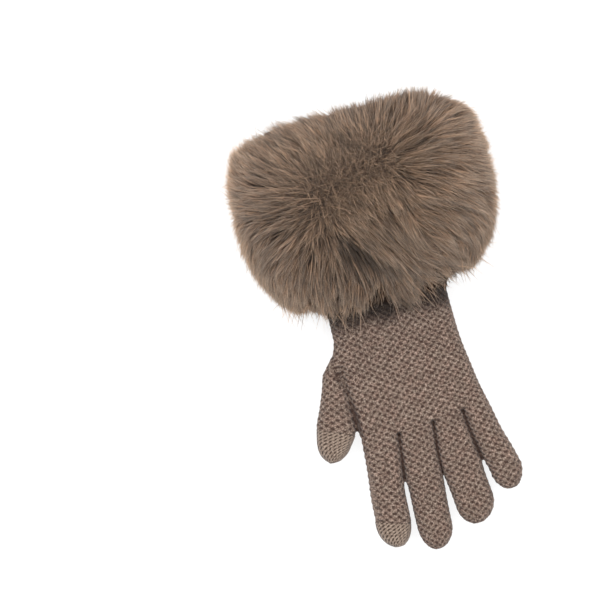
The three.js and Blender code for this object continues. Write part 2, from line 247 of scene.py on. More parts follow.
def stadium(share, a, b):
    """Points on a stadium outline of half-width a and half-height b, and their outward normals.

    share runs once round from the middle of the upper side, through +X, in proportion to the length walked:
    along the flat upper side, round one end of radius b, and back along the lower side.
    """
    flat = np.maximum(a - b, 0)
    half = 2 * flat + np.pi * b
    walked = (share % 1) * 2 * half
    side = np.where(walked > half, -1.0, 1.0)
    walked = np.where(walked > half, 2 * half - walked, walked)
    turn = np.clip((walked - flat) / b, 0, np.pi)
    x = np.where(walked < flat, walked, np.where(walked > flat + np.pi * b, half - walked, flat))
    normal_x, normal_z = side * np.sin(turn), np.cos(turn)
    return side * x + b * normal_x, b * normal_z, normal_x, normal_z


def stadium_share(x, z, a, b):
    """The share of the stadium nearest to a point (x, z) beside its middle, so stadium() in reverse."""
    flat = np.maximum(a - b, 0)
    half = 2 * flat + np.pi * b
    over = np.maximum(np.abs(x) - flat, 0)
    turn = np.arctan2(over, z)
    walked = np.where(np.abs(x) > flat, flat + b * turn, np.where(z > 0, np.abs(x), half - np.abs(x)))
    return np.where(x < 0, 2 * half - walked, walked) / (2 * half)


def smoothstep(low, high, value):
    """0 up to low, 1 from high, and between them three times the share's square less twice its cube."""
    t = np.clip((value - low) / (high - low), 0, 1)
    return t * t * (3 - 2 * t)


def waves(points, wavelength, seed, count=5):
    """A smooth random field of about -1 to 1: the sum of a few sine waves in random directions, over the
    square root of twice their number."""
    rng = np.random.default_rng(seed)
    directions = rng.normal(size=(count, points.shape[-1]))
    directions /= np.linalg.norm(directions, axis=1, keepdims=True)
    stretch = rng.uniform(0.7, 1.5, count)
    phases = rng.uniform(0, 2 * np.pi, count)
    angles = points @ directions.T * (2 * np.pi / wavelength) * stretch + phases
    return np.sin(angles).sum(-1) / np.sqrt(count * 2)


def unit(vectors):
    """The vectors, each divided by its own length."""
    return vectors / np.maximum(np.linalg.norm(vectors, axis=-1, keepdims=True), 1e-9)


# Meshes


def mesh_object(name, points, quads=None, triangles=None, uvs=None):
    """One mesh object from points in the table frame, faces as corner lists, and named UVs a corner."""
    quads = np.zeros((0, 4), int) if quads is None else quads.reshape(-1, 4)
    triangles = np.zeros((0, 3), int) if triangles is None else triangles.reshape(-1, 3)
    corners = np.concatenate([quads.ravel(), triangles.ravel()])
    sizes = np.concatenate([np.full(len(quads), 4), np.full(len(triangles), 3)])
    mesh = bpy.data.meshes.new(name)
    mesh.vertices.add(len(points))
    mesh.vertices.foreach_set("co", ((points + SHIFT) * MM).ravel())
    mesh.loops.add(len(corners))
    mesh.loops.foreach_set("vertex_index", corners)
    mesh.polygons.add(len(sizes))
    mesh.polygons.foreach_set("loop_start", np.cumsum(sizes) - sizes)
    for layer, values in (uvs or {}).items():
        mesh.uv_layers.new(name=layer).data.foreach_set("uv", values.ravel())
    mesh.update(calc_edges=True)
    mesh.shade_smooth()
    piece = bpy.data.objects.new(name, mesh)
    bpy.context.collection.objects.link(piece)
    return piece


def grid_quads(rows, count):
    """Quads between neighbouring rows of a grid of points, whose rows close on themselves."""
    i, k = np.meshgrid(np.arange(rows - 1), np.arange(count), indexing="ij")
    here, there = i * count + k, i * count + (k + 1) % count
    return np.stack([here, there, there + count, here + count], -1).reshape(-1, 4)


def fan(centre, ring, inward=False):
    """Triangles from one point to a closed ring of points."""
    after = np.roll(ring, -1)
    order = (ring, after) if inward else (after, ring)
    return np.stack([np.full(len(ring), centre), *order], -1)


def end_fans(rows, count):
    """Fans over the first and the last ring of a grid, from two points that follow the grid's own."""
    ring = np.arange(count)
    return np.concatenate([fan(rows * count, ring), fan(rows * count + 1, (rows - 1) * count + ring, True)])


def turned_outwards(piece):
    """The piece with its faces pointing out: it is turned inside out if its volume is negative."""
    shell = bmesh.new()
    shell.from_mesh(piece.data)
    if shell.calc_volume(signed=True) < 0:
        bmesh.ops.reverse_faces(shell, faces=shell.faces)
        shell.to_mesh(piece.data)
    shell.free()
    return piece


def applied(piece):
    """The piece with its modifiers made part of its mesh."""
    graph = bpy.context.evaluated_depsgraph_get()
    finished = bpy.data.meshes.new_from_object(piece.evaluated_get(graph))
    piece.modifiers.clear()
    piece.data = finished
    return piece


def points_of(mesh):
    """A mesh's vertices in the table frame."""
    flat = np.empty(len(mesh.vertices) * 3, np.float32)
    mesh.vertices.foreach_get("co", flat)
    return flat.reshape(-1, 3).astype(float) / MM - SHIFT


def normals_of(mesh):
    """A mesh's vertex normals."""
    flat = np.empty(len(mesh.vertices) * 3, np.float32)
    mesh.vertex_normals.foreach_get("vector", flat)
    return flat.reshape(-1, 3).astype(float)


def settle(piece, slot, material, *nodes):
    """Gives a finished piece its material and body, and hides the nodes it stands for. Its slot is not used.
    """
    piece.data.materials.clear()
    piece.data.materials.append(material)
    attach(piece, BODY)
    if nodes:
        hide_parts(*nodes)
    return piece


# The knitted tubes


def sleeve_table(inset=0):
    """The columns of the palm, wrist and sleeve, drawn in by inset on every side."""
    table = columns(SLEEVE)
    for name, sign in (("left", 1), ("right", -1), ("bottom", 1), ("top", -1)):
        table[name] = table[name] + sign * inset
    return table


def tube_table(tube):
    """The columns of a finger or the thumb. A row with no heights lies flat."""
    rows = [tuple(row) + FLAT if len(row) == 3 else row for row in tube["rows"]]
    return columns(rows)


def tube_section(tube, y, inset=0):
    """A finger's section at the levels y. Past its last row it is a dome.

    In the dome the half-width falls as the cosine of an angle whose sine goes to 1 with the way to the tip,
    and the half-height as the square root of that cosine. The sine starts at the tube's taper, which is 0
    where the sides run parallel before the dome and more where they already draw together.
    """
    table = tube_table(tube)
    start = table["y"][-1]
    x, a, z, b = section(along(table, np.maximum(y, start)))
    tip_x, tip_y = tube["tip"]
    taper = tube.get("taper", 0)
    rise = taper + (1 - taper) * np.clip((start - y) / (start - tip_y - inset), 0, 1)
    wide = np.sqrt((1 - rise**2) / (1 - taper**2))
    return x + (tip_x - x) * (1 - wide), (a - inset) * wide, z, (b - inset) * np.sqrt(wide)


def slant_at(y):
    """Tilt of the palm's rows in the plan: none at the wrist, the crotch line's own at the fingers."""
    return CROTCH_SLANT * smoothstep(-40, -70, y)


def rings(y, section_at, shares, tilt=0.0):
    """Rings of points round a tube at the levels y, tilted in the plan about their own middles.

    Each ring is the section's stadium, with its upper side raised by CROWN times the share of the height,
    times one less the square of the share of the width. A tilted ring still lies on the tube: each of its
    points has the section of its own level, which a few rounds of substitution find.
    """
    tilt = np.broadcast_to(np.asarray(tilt, float), y.shape)[:, None]
    level = np.repeat(y[:, None], len(shares), 1)
    for _ in range(8 if tilt.any() else 1):
        x, a, z, b = section_at(level)
        px, pz, _, _ = stadium(shares[None, :], a, np.maximum(b, 1e-3))
        level = (level + y[:, None] + tilt * px) / 2 if tilt.any() else level
    aside = px / np.maximum(a, 1e-3)
    crown = np.where(pz > 0, CROWN * pz / np.maximum(b, 1e-3) * (1 - aside**2), 0)
    return np.stack([x + px, level, z + pz + crown * np.minimum(b / 4, 1)], -1)


def dome_levels(start, tip, step):
    """Levels from a finger's last row to its tip, closer and closer as the dome turns over: the way to the
    tip times the sine of an angle that grows evenly."""
    angle = np.linspace(0, np.pi / 2, max(int(abs(tip - start) * 1.3 / step), 6) + 1)[1:]
    return start + (tip - start) * np.sin(angle)


def closed_tube(name, points):
    """A closed mesh through rings of points, with a fan over each end."""
    rows, count = points.shape[:2]
    flat = np.concatenate([points.reshape(-1, 3), points[0].mean(0)[None], points[-1].mean(0)[None]])
    return turned_outwards(mesh_object(name, flat, grid_quads(rows, count), end_fans(rows, count)))


def sleeve_section(inset=0):
    """The section of the palm, wrist and sleeve as a function of the level."""
    table = sleeve_table(inset)
    return lambda y: section(along(table, np.clip(y, SLEEVE[-1][0], SLEEVE[0][0])))


def finger_section(tube, inset=0):
    """The section of a finger or the thumb as a function of the level."""
    return lambda y: tube_section(tube, y, inset)


def knit_tubes(inset, step, sides):
    """The glove's tubes as separate closed meshes that reach into each other: palm, fingers and thumb.

    With an inset they are the hollows, which run on past the open ends.
    """
    shares = (np.arange(sides) + 0.5) / sides
    past = 4 if inset else 0
    y = np.linspace(SLEEVE_START + past, SLEEVE[-1][0] + inset, int(96 / step))
    made = [closed_tube("palm", rings(y, sleeve_section(inset), shares, slant_at(y)))]
    caps = {cap["on"]: cap for cap in CAPS.values()}
    for name, tube in TUBES.items():
        first, last = tube["rows"][0][0], tube["rows"][-1][0]
        cap = caps.get(name)
        if cap:
            end = cap["at"][1] - past
            y = np.linspace(first, end, int((first - end) / step))
            tilt = cap["tilt"] * smoothstep(first - 15, cap["at"][1], y)
        else:
            y = np.concatenate([np.linspace(first, last, int((first - last) / step)),
                                dome_levels(last, tube["tip"][1] + inset, step)])
            tilt = 0.0
        made.append(closed_tube(name, rings(y, finger_section(tube, inset), shares, tilt)))
    return made


def joined(name, pieces):
    """Several objects' meshes as one object."""
    points, faces, start = [], [], 0
    for piece in pieces:
        mesh = piece.data
        points.append(points_of(mesh))
        corner = np.empty(len(mesh.loops), np.int32)
        mesh.loops.foreach_get("vertex_index", corner)
        total = np.empty(len(mesh.polygons), np.int32)
        mesh.polygons.foreach_get("loop_total", total)
        faces.append((corner + start, total))
        start += len(mesh.vertices)
    corners = np.concatenate([corner for corner, _ in faces])
    sizes = np.concatenate([total for _, total in faces])
    begins = np.cumsum(sizes) - sizes
    quads = corners[begins[sizes == 4][:, None] + np.arange(4)]
    triangles = corners[begins[sizes == 3][:, None] + np.arange(3)]
    whole = mesh_object(name, np.concatenate(points), quads, triangles)
    for piece in pieces:
        bpy.data.objects.remove(piece)
    return whole


# Stitches. Their coordinates count stitches round a tube (u) and pairs of courses along it (v).


def owner_of(points):
    """Which tube each point belongs to: 0 the palm, then the fingers in their order, then the thumb."""
    x, y = points[:, 0], points[:, 1]
    below = y < CROTCH_LEVEL + CROTCH_SLANT * x
    distance = []
    for tube in FINGERS.values():
        middle, a, _, _ = tube_section(tube, y)
        distance.append(np.abs(x - middle) - a)
    finger = np.argmin(distance, axis=0) + 1
    owner = np.where(below, finger, 0)
    return np.where((x < thumb_edge(y)) & (y < THUMB_FROM), len(TUBES), owner)


def thumb_edge(y):
    """X of the crease between thumb and palm: straight, but bent towards the thumb where it starts."""
    return THUMB_EDGE - THUMB_CROTCH * smoothstep(-46, -26, y)


def stitches_at(points, owner, stitch, course):
    """Stitch coordinates of points on tubes: u from the stadium's length, v from the distance along it."""
    u, v = np.zeros(len(points)), np.zeros(len(points))
    periods = np.zeros(len(points))
    palm = sleeve_table()
    for index, tube in enumerate([None, *TUBES.values()]):
        mine = owner == index
        if not mine.any():
            continue
        x, y, z = points[mine].T
        if tube is None:
            level = y - slant_at(y) * x
            mid, a, height, b = section(along(palm, np.clip(level, SLEEVE[-1][0], SLEEVE[0][0])))
            around, start = PALM_STITCHES, 0.0
        else:
            level = y - CROTCH_SLANT * mid_of(tube) * (tube is not THUMB)
            mid, a, height, b = tube_section(tube, np.maximum(y, tube["tip"][1] + 0.2))
            around = int(round((2 * (root_width(tube) - FLAT[1]) + np.pi * FLAT[1]) / stitch))
            start = (mid_of(tube) - PALM_MIDDLE) / stitch
            for cap in CAPS.values():
                if TUBES[cap["on"]] is tube:
                    tilt = cap["tilt"] * smoothstep(tube["rows"][0][0] - 15, cap["at"][1], y)
                    level = level - tilt * (x - mid)
        u[mine] = stadium_share(x - mid, z - height, a, np.maximum(b, 0.5)) * around + start
        v[mine] = -level / course
        periods[mine] = around
    return u, v, periods


def mid_of(tube):
    """X of a tube's middle near its root."""
    _, left, right = tube["rows"][1][:3]
    return (left + right) / 2


def root_width(tube):
    """A tube's width near its root, which sets how many stitches go round it."""
    _, left, right = tube["rows"][2][:3]
    return right - left


def pit_depth(u, v):
    """How deep in a pit a stitch coordinate lies, 0 to 1.

    The pits stand at whole numbers of u and v and again at the halves of both, so the product of the two
    cosines is 1 in each pit's middle and -1 on each bump between them.
    """
    return smoothstep(0.0, 0.9, np.cos(2 * np.pi * u) * np.cos(2 * np.pi * v))


def stitch_relief(u, v):
    """Height of the fabric from its mean, -1 to 1: pits, bumps and the two slanting legs of each stitch.

    The bumps stand where the pits' product of cosines is below 0, and the legs are a cosine of the course
    whose start leans one way and then the other over half a stitch.
    """
    product = np.cos(2 * np.pi * u) * np.cos(2 * np.pi * v)
    lean = np.abs((2 * u) % 2 - 1)
    legs = np.cos(2 * np.pi * (2 * v + lean)) * 0.22
    return -pit_depth(u, v) + 0.3 * smoothstep(0, 1, -product) + legs * (1 - pit_depth(u, v))


def crease(points):
    """1 where two neighbouring tubes touch, falling to 0 a few millimetres away: there the knit is sunk and
    darkened with painted shade.

    It is a bell curve of the two distances, across the plan, to the sides of the two nearest tubes. Beside
    the thumb it is one of the distance to thumb_edge, strongest at its crotch and along its free length.
    """
    x, y = points[:, 0], points[:, 1]
    across = []
    for tube in FINGERS.values():
        middle, a, _, _ = tube_section(tube, y)
        across.append(np.abs(x - middle) - a)
    across = np.sort(np.abs(across), axis=0)
    below = smoothstep(-1.5, 1, CROTCH_LEVEL + CROTCH_SLANT * x - y)
    between = np.exp(-(across[0] ** 2 + across[1] ** 2) / CREASE_WIDTH**2) * below
    side = (x - thumb_edge(y)) / (1.5 * CREASE_WIDTH)
    strength = 0.8 * np.exp(-(((y + 27.5) / 2.5) ** 2)) + 0.3 + 0.7 * smoothstep(-36, -58, y)
    beside = np.exp(-(side**2)) * smoothstep(-23, -27, y) * smoothstep(-72, -64, y) * np.minimum(strength, 1)
    return np.maximum(between, beside)


def pile_shadow(points):
    """1 on the knit's upper side right under the pile's end, where no light comes, falling to 0 over a
    centimetre. In the hollows it reaches some millimetres further."""
    hollow = wrist_hollow(points[:, 0])
    ragged = 1.5 * waves(points, 9, seed=31)
    upper = smoothstep(6, 12, points[:, 2])
    return smoothstep(-4 - 4 * hollow, 8 - 3 * hollow, points[:, 1] + ragged) * upper


def wrist_hollow(x):
    """1 at the middle of each hollow under the pile's end, 0 between them."""
    bells = [depth * np.exp(-(((x - middle) / width) ** 4)) for middle, width, depth in HOLLOWS]
    return np.clip(sum(bells), 0, 1)


def wrist_edge(x):
    """1 beside the sleeve's two edges, falling to 0 as a bell curve."""
    return sum(np.exp(-(((x - edge) / EDGE_WIDTH) ** 2)) for edge in SLEEVE_EDGES)


def corner_uvs(mesh, stitch, course):
    """Stitch coordinates for each face corner, all of one face taken from one tube and unbroken round it."""
    count = len(mesh.polygons)
    total = np.empty(count, np.int32)
    mesh.polygons.foreach_get("loop_total", total)
    centre = np.empty(count * 3, np.float32)
    mesh.polygons.foreach_get("center", centre)
    owner = owner_of(centre.reshape(-1, 3) / MM - SHIFT)
    corner = np.empty(len(mesh.loops), np.int32)
    mesh.loops.foreach_get("vertex_index", corner)
    face = np.repeat(np.arange(count), total)
    u, v, period = stitches_at(points_of(mesh)[corner], owner[face], stitch, course)
    first = (np.cumsum(total) - total)[face]
    period = np.maximum(period, 1)
    u = u - np.round((u - u[first]) / period) * period
    return np.stack([u, v], -1), corner


# Materials

# How far the dark dash of a cap's stitch climbs over its width, in courses: whole, so that the rows close
CAP_LEAN = 1
CAP_BREAK = 0.55  # how much each stitch breaks the dark line between two courses


def linear(hex_colour):
    """An sRGB hex colour as linear red, green, blue and alpha."""
    channels = np.array([int(hex_colour[i:i + 2], 16) for i in (1, 3, 5)]) / 255
    channels = np.where(channels <= 0.04045, channels / 12.92, ((channels + 0.055) / 1.055) ** 2.4)
    return (*channels, 1.0)


def add(tree, kind, inputs=None, stops=None, **settings):
    """Adds one node with its settings. inputs maps a socket's name or number to a value or to an output, and
    stops are a ramp's places and hex colours."""
    node = tree.nodes.new(kind)
    for name, value in settings.items():
        setattr(node, name, value)
    for name, value in (inputs or {}).items():
        if isinstance(value, bpy.types.NodeSocket):
            tree.links.new(value, node.inputs[name])
        else:
            node.inputs[name].default_value = value
    if stops:
        ramp = node.color_ramp
        while len(ramp.elements) < len(stops):
            ramp.elements.new(0.5)
        for element, (place, colour) in zip(ramp.elements, stops):
            element.position = place
            element.color = linear(colour)
    return node


def new_material(name):
    """An empty material, and its node tree."""
    material = bpy.data.materials.new(name)
    material.use_nodes = True
    material.node_tree.nodes.clear()
    return material, material.node_tree


def heathered_wool_knit(settings):
    """Heathered wool-blend yarn in a tuck stitch: matt, hairy, with pits between plump pale stitches, sunk
    in relief and darkened with painted shade.

    The pits follow the piece's own stitch coordinates, pulled about by a slow noise as hand-washed knitting
    is, and some are deeper than others. The yarn is dyed as fibre and spun mixed, so its colour changes
    every millimetre or so, towards pink, beige and grey-brown, with single pale fibres that catch the
    light. The fibres are drawn about a millimetre wide, many times as coarse as real ones, so that they
    show. Painted shade also darkens the knit where two tubes touch, and a painted shadow where the pile
    ends.
    """
    material, tree = new_material("heathered wool tuck knit")
    place = add(tree, "ShaderNodeTexCoord").outputs["Object"]
    stitches = add(tree, "ShaderNodeUVMap", uv_map="stitches").outputs["UV"]
    split = add(tree, "ShaderNodeSeparateXYZ", {0: stitches})
    turns = []
    for axis, aside in (("X", 0.0), ("Y", 3.7)):
        pulled = add(tree, "ShaderNodeMapping", {"Vector": place, "Location": (aside, 0.0, 0.0)})
        pull = add(tree, "ShaderNodeTexNoise",
                   {"Vector": pulled.outputs["Vector"], "Scale": 1 / (2.6 * MM), "Detail": 2.0})
        moved = add(tree, "ShaderNodeMath", {0: pull.outputs["Fac"], 1: 0.36, 2: split.outputs[axis]},
                    operation="MULTIPLY_ADD")
        angle = add(tree, "ShaderNodeMath", {0: moved.outputs[0], 1: 2 * np.pi}, operation="MULTIPLY")
        turns.append(add(tree, "ShaderNodeMath", {0: angle.outputs[0]}, operation="COSINE").outputs[0])
    product = add(tree, "ShaderNodeMath", {0: turns[0], 1: turns[1]}, operation="MULTIPLY").outputs[0]
    uneven = add(tree, "ShaderNodeTexNoise", {"Vector": place, "Scale": 1 / (3.5 * MM), "Detail": 1.0})
    deeper = add(tree, "ShaderNodeMath", {0: uneven.outputs["Fac"], 1: 1.0, 2: -0.5},
                 operation="MULTIPLY_ADD")
    depth = add(tree, "ShaderNodeMath", {0: product, 1: deeper.outputs[0]}, operation="ADD").outputs[0]
    pit = add(tree, "ShaderNodeMapRange", {"Value": depth, "From Min": -0.25, "From Max": 0.85},
              interpolation_type="SMOOTHSTEP").outputs["Result"]
    plies = add(tree, "ShaderNodeTexNoise",
                {"Vector": place, "Scale": 1 / (1 * MM), "Detail": 3.0, "Roughness": 0.85}).outputs["Fac"]
    yarn = add(tree, "ShaderNodeValToRGB", {"Fac": plies},
               stops=((0.36, settings.yarn_dark), (0.47, settings.yarn_middle), (0.55, settings.yarn_light),
                      (0.66, settings.yarn_pale)))
    tint = add(tree, "ShaderNodeTexNoise",
               {"Vector": place, "Scale": 1 / (4 * MM), "Detail": 2.0}).outputs["Fac"]
    tinted = add(tree, "ShaderNodeValToRGB", {"Fac": tint},
                 stops=((0.35, settings.tint_grey), (0.5, settings.tint_plain), (0.65, settings.tint_pink)))
    blend = add(tree, "ShaderNodeMix", {0: 0.5, 6: yarn.outputs["Color"], 7: tinted.outputs["Color"]},
                data_type="RGBA", blend_type="OVERLAY").outputs[2]
    # Painted shade in the pits, on top of their bumped and displaced relief
    painted_pit_shade = add(tree, "ShaderNodeMath", {0: pit, 1: settings.painted_pit_shade_strength},
                 operation="MULTIPLY").outputs[0]
    creases = add(tree, "ShaderNodeUVMap", uv_map="creases").outputs["UV"]
    painted_shade_masks = add(tree, "ShaderNodeSeparateXYZ", {0: creases})
    # Painted shade where two tubes touch, added to the painted pit shade
    deep = add(tree, "ShaderNodeMath", {0: painted_shade_masks.outputs["X"], 1: 0.8, 2: painted_pit_shade}, operation="MULTIPLY_ADD")
    shade = add(tree, "ShaderNodeMath", {0: deep.outputs[0], 1: 0.95}, operation="MINIMUM").outputs[0]
    colour = add(tree, "ShaderNodeMix", {0: shade, 6: blend, 7: linear(settings.painted_pit_shade_colour)},
                 data_type="RGBA").outputs[2]
    # Painted shadow of the pile's end over the knit
    painted_pile_shadow = add(tree, "ShaderNodeMath", {0: painted_shade_masks.outputs["Y"], 1: 0.85},
                     operation="MULTIPLY").outputs[0]
    colour = add(tree, "ShaderNodeMix", {0: painted_pile_shadow, 6: colour, 7: linear(settings.yarn_shadow)},
                 data_type="RGBA").outputs[2]
    hair = add(tree, "ShaderNodeTexNoise",
               {"Vector": place, "Scale": 1 / (0.7 * MM), "Detail": 2.0}).outputs["Fac"]
    height = add(tree, "ShaderNodeMath", {0: pit, 1: -1.0, 2: hair}, operation="MULTIPLY_ADD").outputs[0]
    bump = add(tree, "ShaderNodeBump", {"Strength": 0.7, "Distance": 0.5 * MM, "Height": height})
    shader = add(tree, "ShaderNodeBsdfPrincipled",
                 {"Base Color": colour, "Roughness": 0.95, "Specular IOR Level": 0.15,
                  "Sheen Weight": 0.12, "Sheen Roughness": 0.6, "Normal": bump.outputs["Normal"]})
    add(tree, "ShaderNodeOutputMaterial", {"Surface": shader.outputs[0]})
    return material


def plain_stockinette(settings):
    """Finer, paler yarn in plain stockinette: each stitch's legs slant, with a groove beside them that is
    sunk a little and darkened as a dash of painted shade, and a little shine from the conductive thread spun
    in."""
    material, tree = new_material("pale conductive stockinette")
    place = add(tree, "ShaderNodeTexCoord").outputs["Object"]
    stitches = add(tree, "ShaderNodeUVMap", uv_map="stitches").outputs["UV"]
    split = add(tree, "ShaderNodeSeparateXYZ", {0: stitches})
    lean = add(tree, "ShaderNodeMath", {0: split.outputs["X"], 1: CAP_LEAN, 2: split.outputs["Y"]},
               operation="MULTIPLY_ADD")
    pull = add(tree, "ShaderNodeTexNoise",
               {"Vector": place, "Scale": 1 / (3 * MM), "Detail": 1.0}).outputs["Fac"]
    turns = []
    for turn, strength in ((lean.outputs[0], 1.0), (split.outputs["X"], CAP_BREAK)):
        pulled = add(tree, "ShaderNodeMath", {0: pull, 1: 0.4, 2: turn}, operation="MULTIPLY_ADD")
        angle = add(tree, "ShaderNodeMath", {0: pulled.outputs[0], 1: 2 * np.pi}, operation="MULTIPLY")
        wave = add(tree, "ShaderNodeMath", {0: angle.outputs[0]}, operation="COSINE")
        part = add(tree, "ShaderNodeMath", {0: wave.outputs[0], 1: strength}, operation="MULTIPLY")
        turns.append(part.outputs[0])
    leg = add(tree, "ShaderNodeMath", {0: turns[0], 1: turns[1]}, operation="ADD").outputs[0]
    groove = add(tree, "ShaderNodeMapRange", {"Value": leg, "From Min": 0.1, "From Max": 0.95},
                 interpolation_type="SMOOTHSTEP").outputs["Result"]
    fibre = add(tree, "ShaderNodeTexNoise",
                {"Vector": place, "Scale": 1 / (1.1 * MM), "Detail": 3.0}).outputs["Fac"]
    yarn = add(tree, "ShaderNodeValToRGB", {"Fac": fibre},
               stops=((0.3, settings.cap_middle), (0.5, settings.cap_light), (0.7, settings.cap_pale)))
    # Painted shade in the grooves beside the legs, besides the caps' sunk relief
    shade = add(tree, "ShaderNodeMath", {0: groove, 1: settings.painted_groove_shade_strength},
                operation="MULTIPLY").outputs[0]
    colour = add(tree, "ShaderNodeMix", {0: shade, 6: yarn.outputs["Color"], 7: linear(settings.painted_groove_shade_colour)},
                 data_type="RGBA").outputs[2]
    height = add(tree, "ShaderNodeMath", {0: groove, 1: -1.5, 2: fibre}, operation="MULTIPLY_ADD").outputs[0]
    bump = add(tree, "ShaderNodeBump", {"Strength": 0.7, "Distance": 0.3 * MM, "Height": height})
    shader = add(tree, "ShaderNodeBsdfPrincipled",
                 {"Base Color": colour, "Roughness": 0.8, "Specular IOR Level": 0.25,
                  "Sheen Weight": 0.2, "Normal": bump.outputs["Normal"]})
    add(tree, "ShaderNodeOutputMaterial", {"Surface": shader.outputs[0]})
    return material


def dyed_guard_hair(settings):
    """Long soft guard hair, dyed through: dark at the root, warm taupe along its length, pale and fine at
    the tip, with the silky gleam of a smooth cuticle. The dark at the root is partly the hair's own colour
    and partly painted shade from deep in the pile. Whole locks are a little darker or paler than others, and
    each strand's shade also carries painted shade and a painted rim light. Real guard hair is under a tenth
    of a millimetre thick, and a strand is drawn several times that, so that it shows."""
    material, tree = new_material("dyed long-pile guard hair")
    strand = add(tree, "ShaderNodeUVMap", uv_map="strand").outputs["UV"]
    split = add(tree, "ShaderNodeSeparateXYZ", {0: strand})
    length = add(tree, "ShaderNodeValToRGB", {"Fac": split.outputs["Y"]},
                 stops=((0.0, settings.hair_root), (0.35, settings.hair_low), (0.7, settings.hair_middle),
                        (1.0, settings.hair_tip)))
    # Each strand's shade: its own tone, with painted shade and a painted rim light
    lock = add(tree, "ShaderNodeMapRange", {"Value": split.outputs["X"], "To Min": settings.darkest_tone_and_shade,
                                            "To Max": settings.palest_tone_and_light}).outputs["Result"]
    colour = add(tree, "ShaderNodeMix", {"Factor": 1.0, "A": length.outputs["Color"], "B": lock},
                 data_type="RGBA", blend_type="MULTIPLY")
    shader = add(tree, "ShaderNodeBsdfPrincipled",
                 {"Base Color": colour.outputs["Result"], "Roughness": 0.6, "Specular IOR Level": 0.3,
                  "Sheen Weight": 0.1})
    add(tree, "ShaderNodeOutputMaterial", {"Surface": shader.outputs[0]})
    return material


def dense_undercoat(settings):
    """The short dense wool that guard hair grows through: dull and mottled, seen in partings, and near
    black, partly its own dark colour and partly painted shade of the deep pile.
    """
    material, tree = new_material("dense underfur")
    place = add(tree, "ShaderNodeTexCoord").outputs["Object"]
    tufts = add(tree, "ShaderNodeTexNoise",
                {"Vector": place, "Scale": 1 / (3 * MM), "Detail": 4.0, "Roughness": 0.7}).outputs["Fac"]
    # Near black, partly the underfur's own colour and partly painted shade, darker between the tufts
    colour = add(tree, "ShaderNodeValToRGB", {"Fac": tufts},
                 stops=((0.3, settings.underfur_gap_colour_and_shade), (0.7, settings.underfur_tuft_colour_and_shade)))
    bump = add(tree, "ShaderNodeBump", {"Strength": 0.8, "Distance": 0.8 * MM, "Height": tufts})
    shader = add(tree, "ShaderNodeBsdfPrincipled",
                 {"Base Color": colour.outputs["Color"], "Roughness": 0.95, "Specular IOR Level": 0.1,
                  "Normal": bump.outputs["Normal"]})
    add(tree, "ShaderNodeOutputMaterial", {"Surface": shader.outputs[0]})
    return material


def backlit_acrylic(settings):
    """Opal acrylic lit from below, with a ground surface: an even white in which shadows all but vanish."""
    material, tree = new_material("backlit opal acrylic")
    place = add(tree, "ShaderNodeTexCoord").outputs["Object"]
    tooth = add(tree, "ShaderNodeTexNoise", {"Vector": place, "Scale": 400.0}).outputs["Fac"]
    bump = add(tree, "ShaderNodeBump", {"Strength": 0.02, "Distance": 0.1 * MM, "Height": tooth})
    shader = add(tree, "ShaderNodeBsdfPrincipled",
                 {"Base Color": linear(settings.table), "Roughness": 1.0, "Specular IOR Level": 0.0,
                  "Emission Color": (1, 1, 1, 1), "Emission Strength": settings.glow,
                  "Normal": bump.outputs["Normal"]})
    add(tree, "ShaderNodeOutputMaterial", {"Surface": shader.outputs[0]})
    return material


# The pile


def fur_points(round_share, across, depth):
    """Points of the pile's outer form, depth inside it.

    round_share runs once round the sleeve as a stadium's share does, and across from -1 at the wrist to 1 at
    the mouth. Each point stands off the sleeve along its normal by the pile's length there times a bulge,
    the cosine of across to a power, so that the section along the arm is a squared-off arch.
    """
    towards_mouth = across > 0
    angle = np.pi / 2 * np.abs(across)
    power = np.where(towards_mouth, MOUTH_POWER, WRIST_POWER)
    bulge = np.clip(np.cos(angle), 0, 1) ** power
    lip = np.where(towards_mouth, MOUTH_LIP, WRIST_LIP)
    _, _, guess_x, guess_z = stadium(round_share, *SLEEVE_GUESS)
    sideways = np.abs(guess_x) ** 1.5
    to_mouth = FUR_TO - FUR_MIDDLE - MOUTH_ROUND * sideways
    reach = np.where(towards_mouth, to_mouth, FUR_MIDDLE - FUR_FROM - WRIST_ROUND * sideways)
    y = FUR_MIDDLE + np.sign(across) * (reach - depth) * np.sin(angle) ** power
    x, a, z, b = section(along(sleeve_table(), np.clip(y, PILE_ON, SLEEVE_END)))
    px, pz, nx, nz = stadium(round_share, a, b)
    upright = np.where(guess_z > 0, PILE_TOP, PILE_UNDER)
    pile = upright + (PILE_SIDE - upright) * guess_x**2
    out = PIECE_GAP + lip + np.maximum(pile - depth - lip, 0) * bulge
    return np.stack([x + px + out * nx, y, z + pz + out * nz], -1)


def bore_points(round_share, share):
    """The inside of the fur: it follows the sleeve from the mouth to the wrist and flares past the rim."""
    y = FUR_TO - 5 + (FUR_FROM + 9 - FUR_TO) * share
    x, a, z, b = section(along(sleeve_table(), np.clip(y, PILE_ON, SLEEVE_END)))
    px, pz, nx, nz = stadium(round_share, a, b)
    out = PIECE_GAP + 6 * np.maximum((y - SLEEVE_END) / (FUR_TO - SLEEVE_END), 0)
    return np.stack([x + px + out * nx, y + 0 * px, z + pz + out * nz], -1)


def form_steps(round_share, across, depth):
    """How fast a point of the form moves: for each turn round the sleeve, and for each unit of across."""
    step = 0.004
    low, high = np.clip(across - step, -1, 1), np.clip(across + step, -1, 1)
    onward = fur_points(round_share + step, across, depth) - fur_points(round_share - step, across, depth)
    upward = fur_points(round_share, high, depth) - fur_points(round_share, low, depth)
    return onward / (2 * step), upward / (high - low)[..., None]


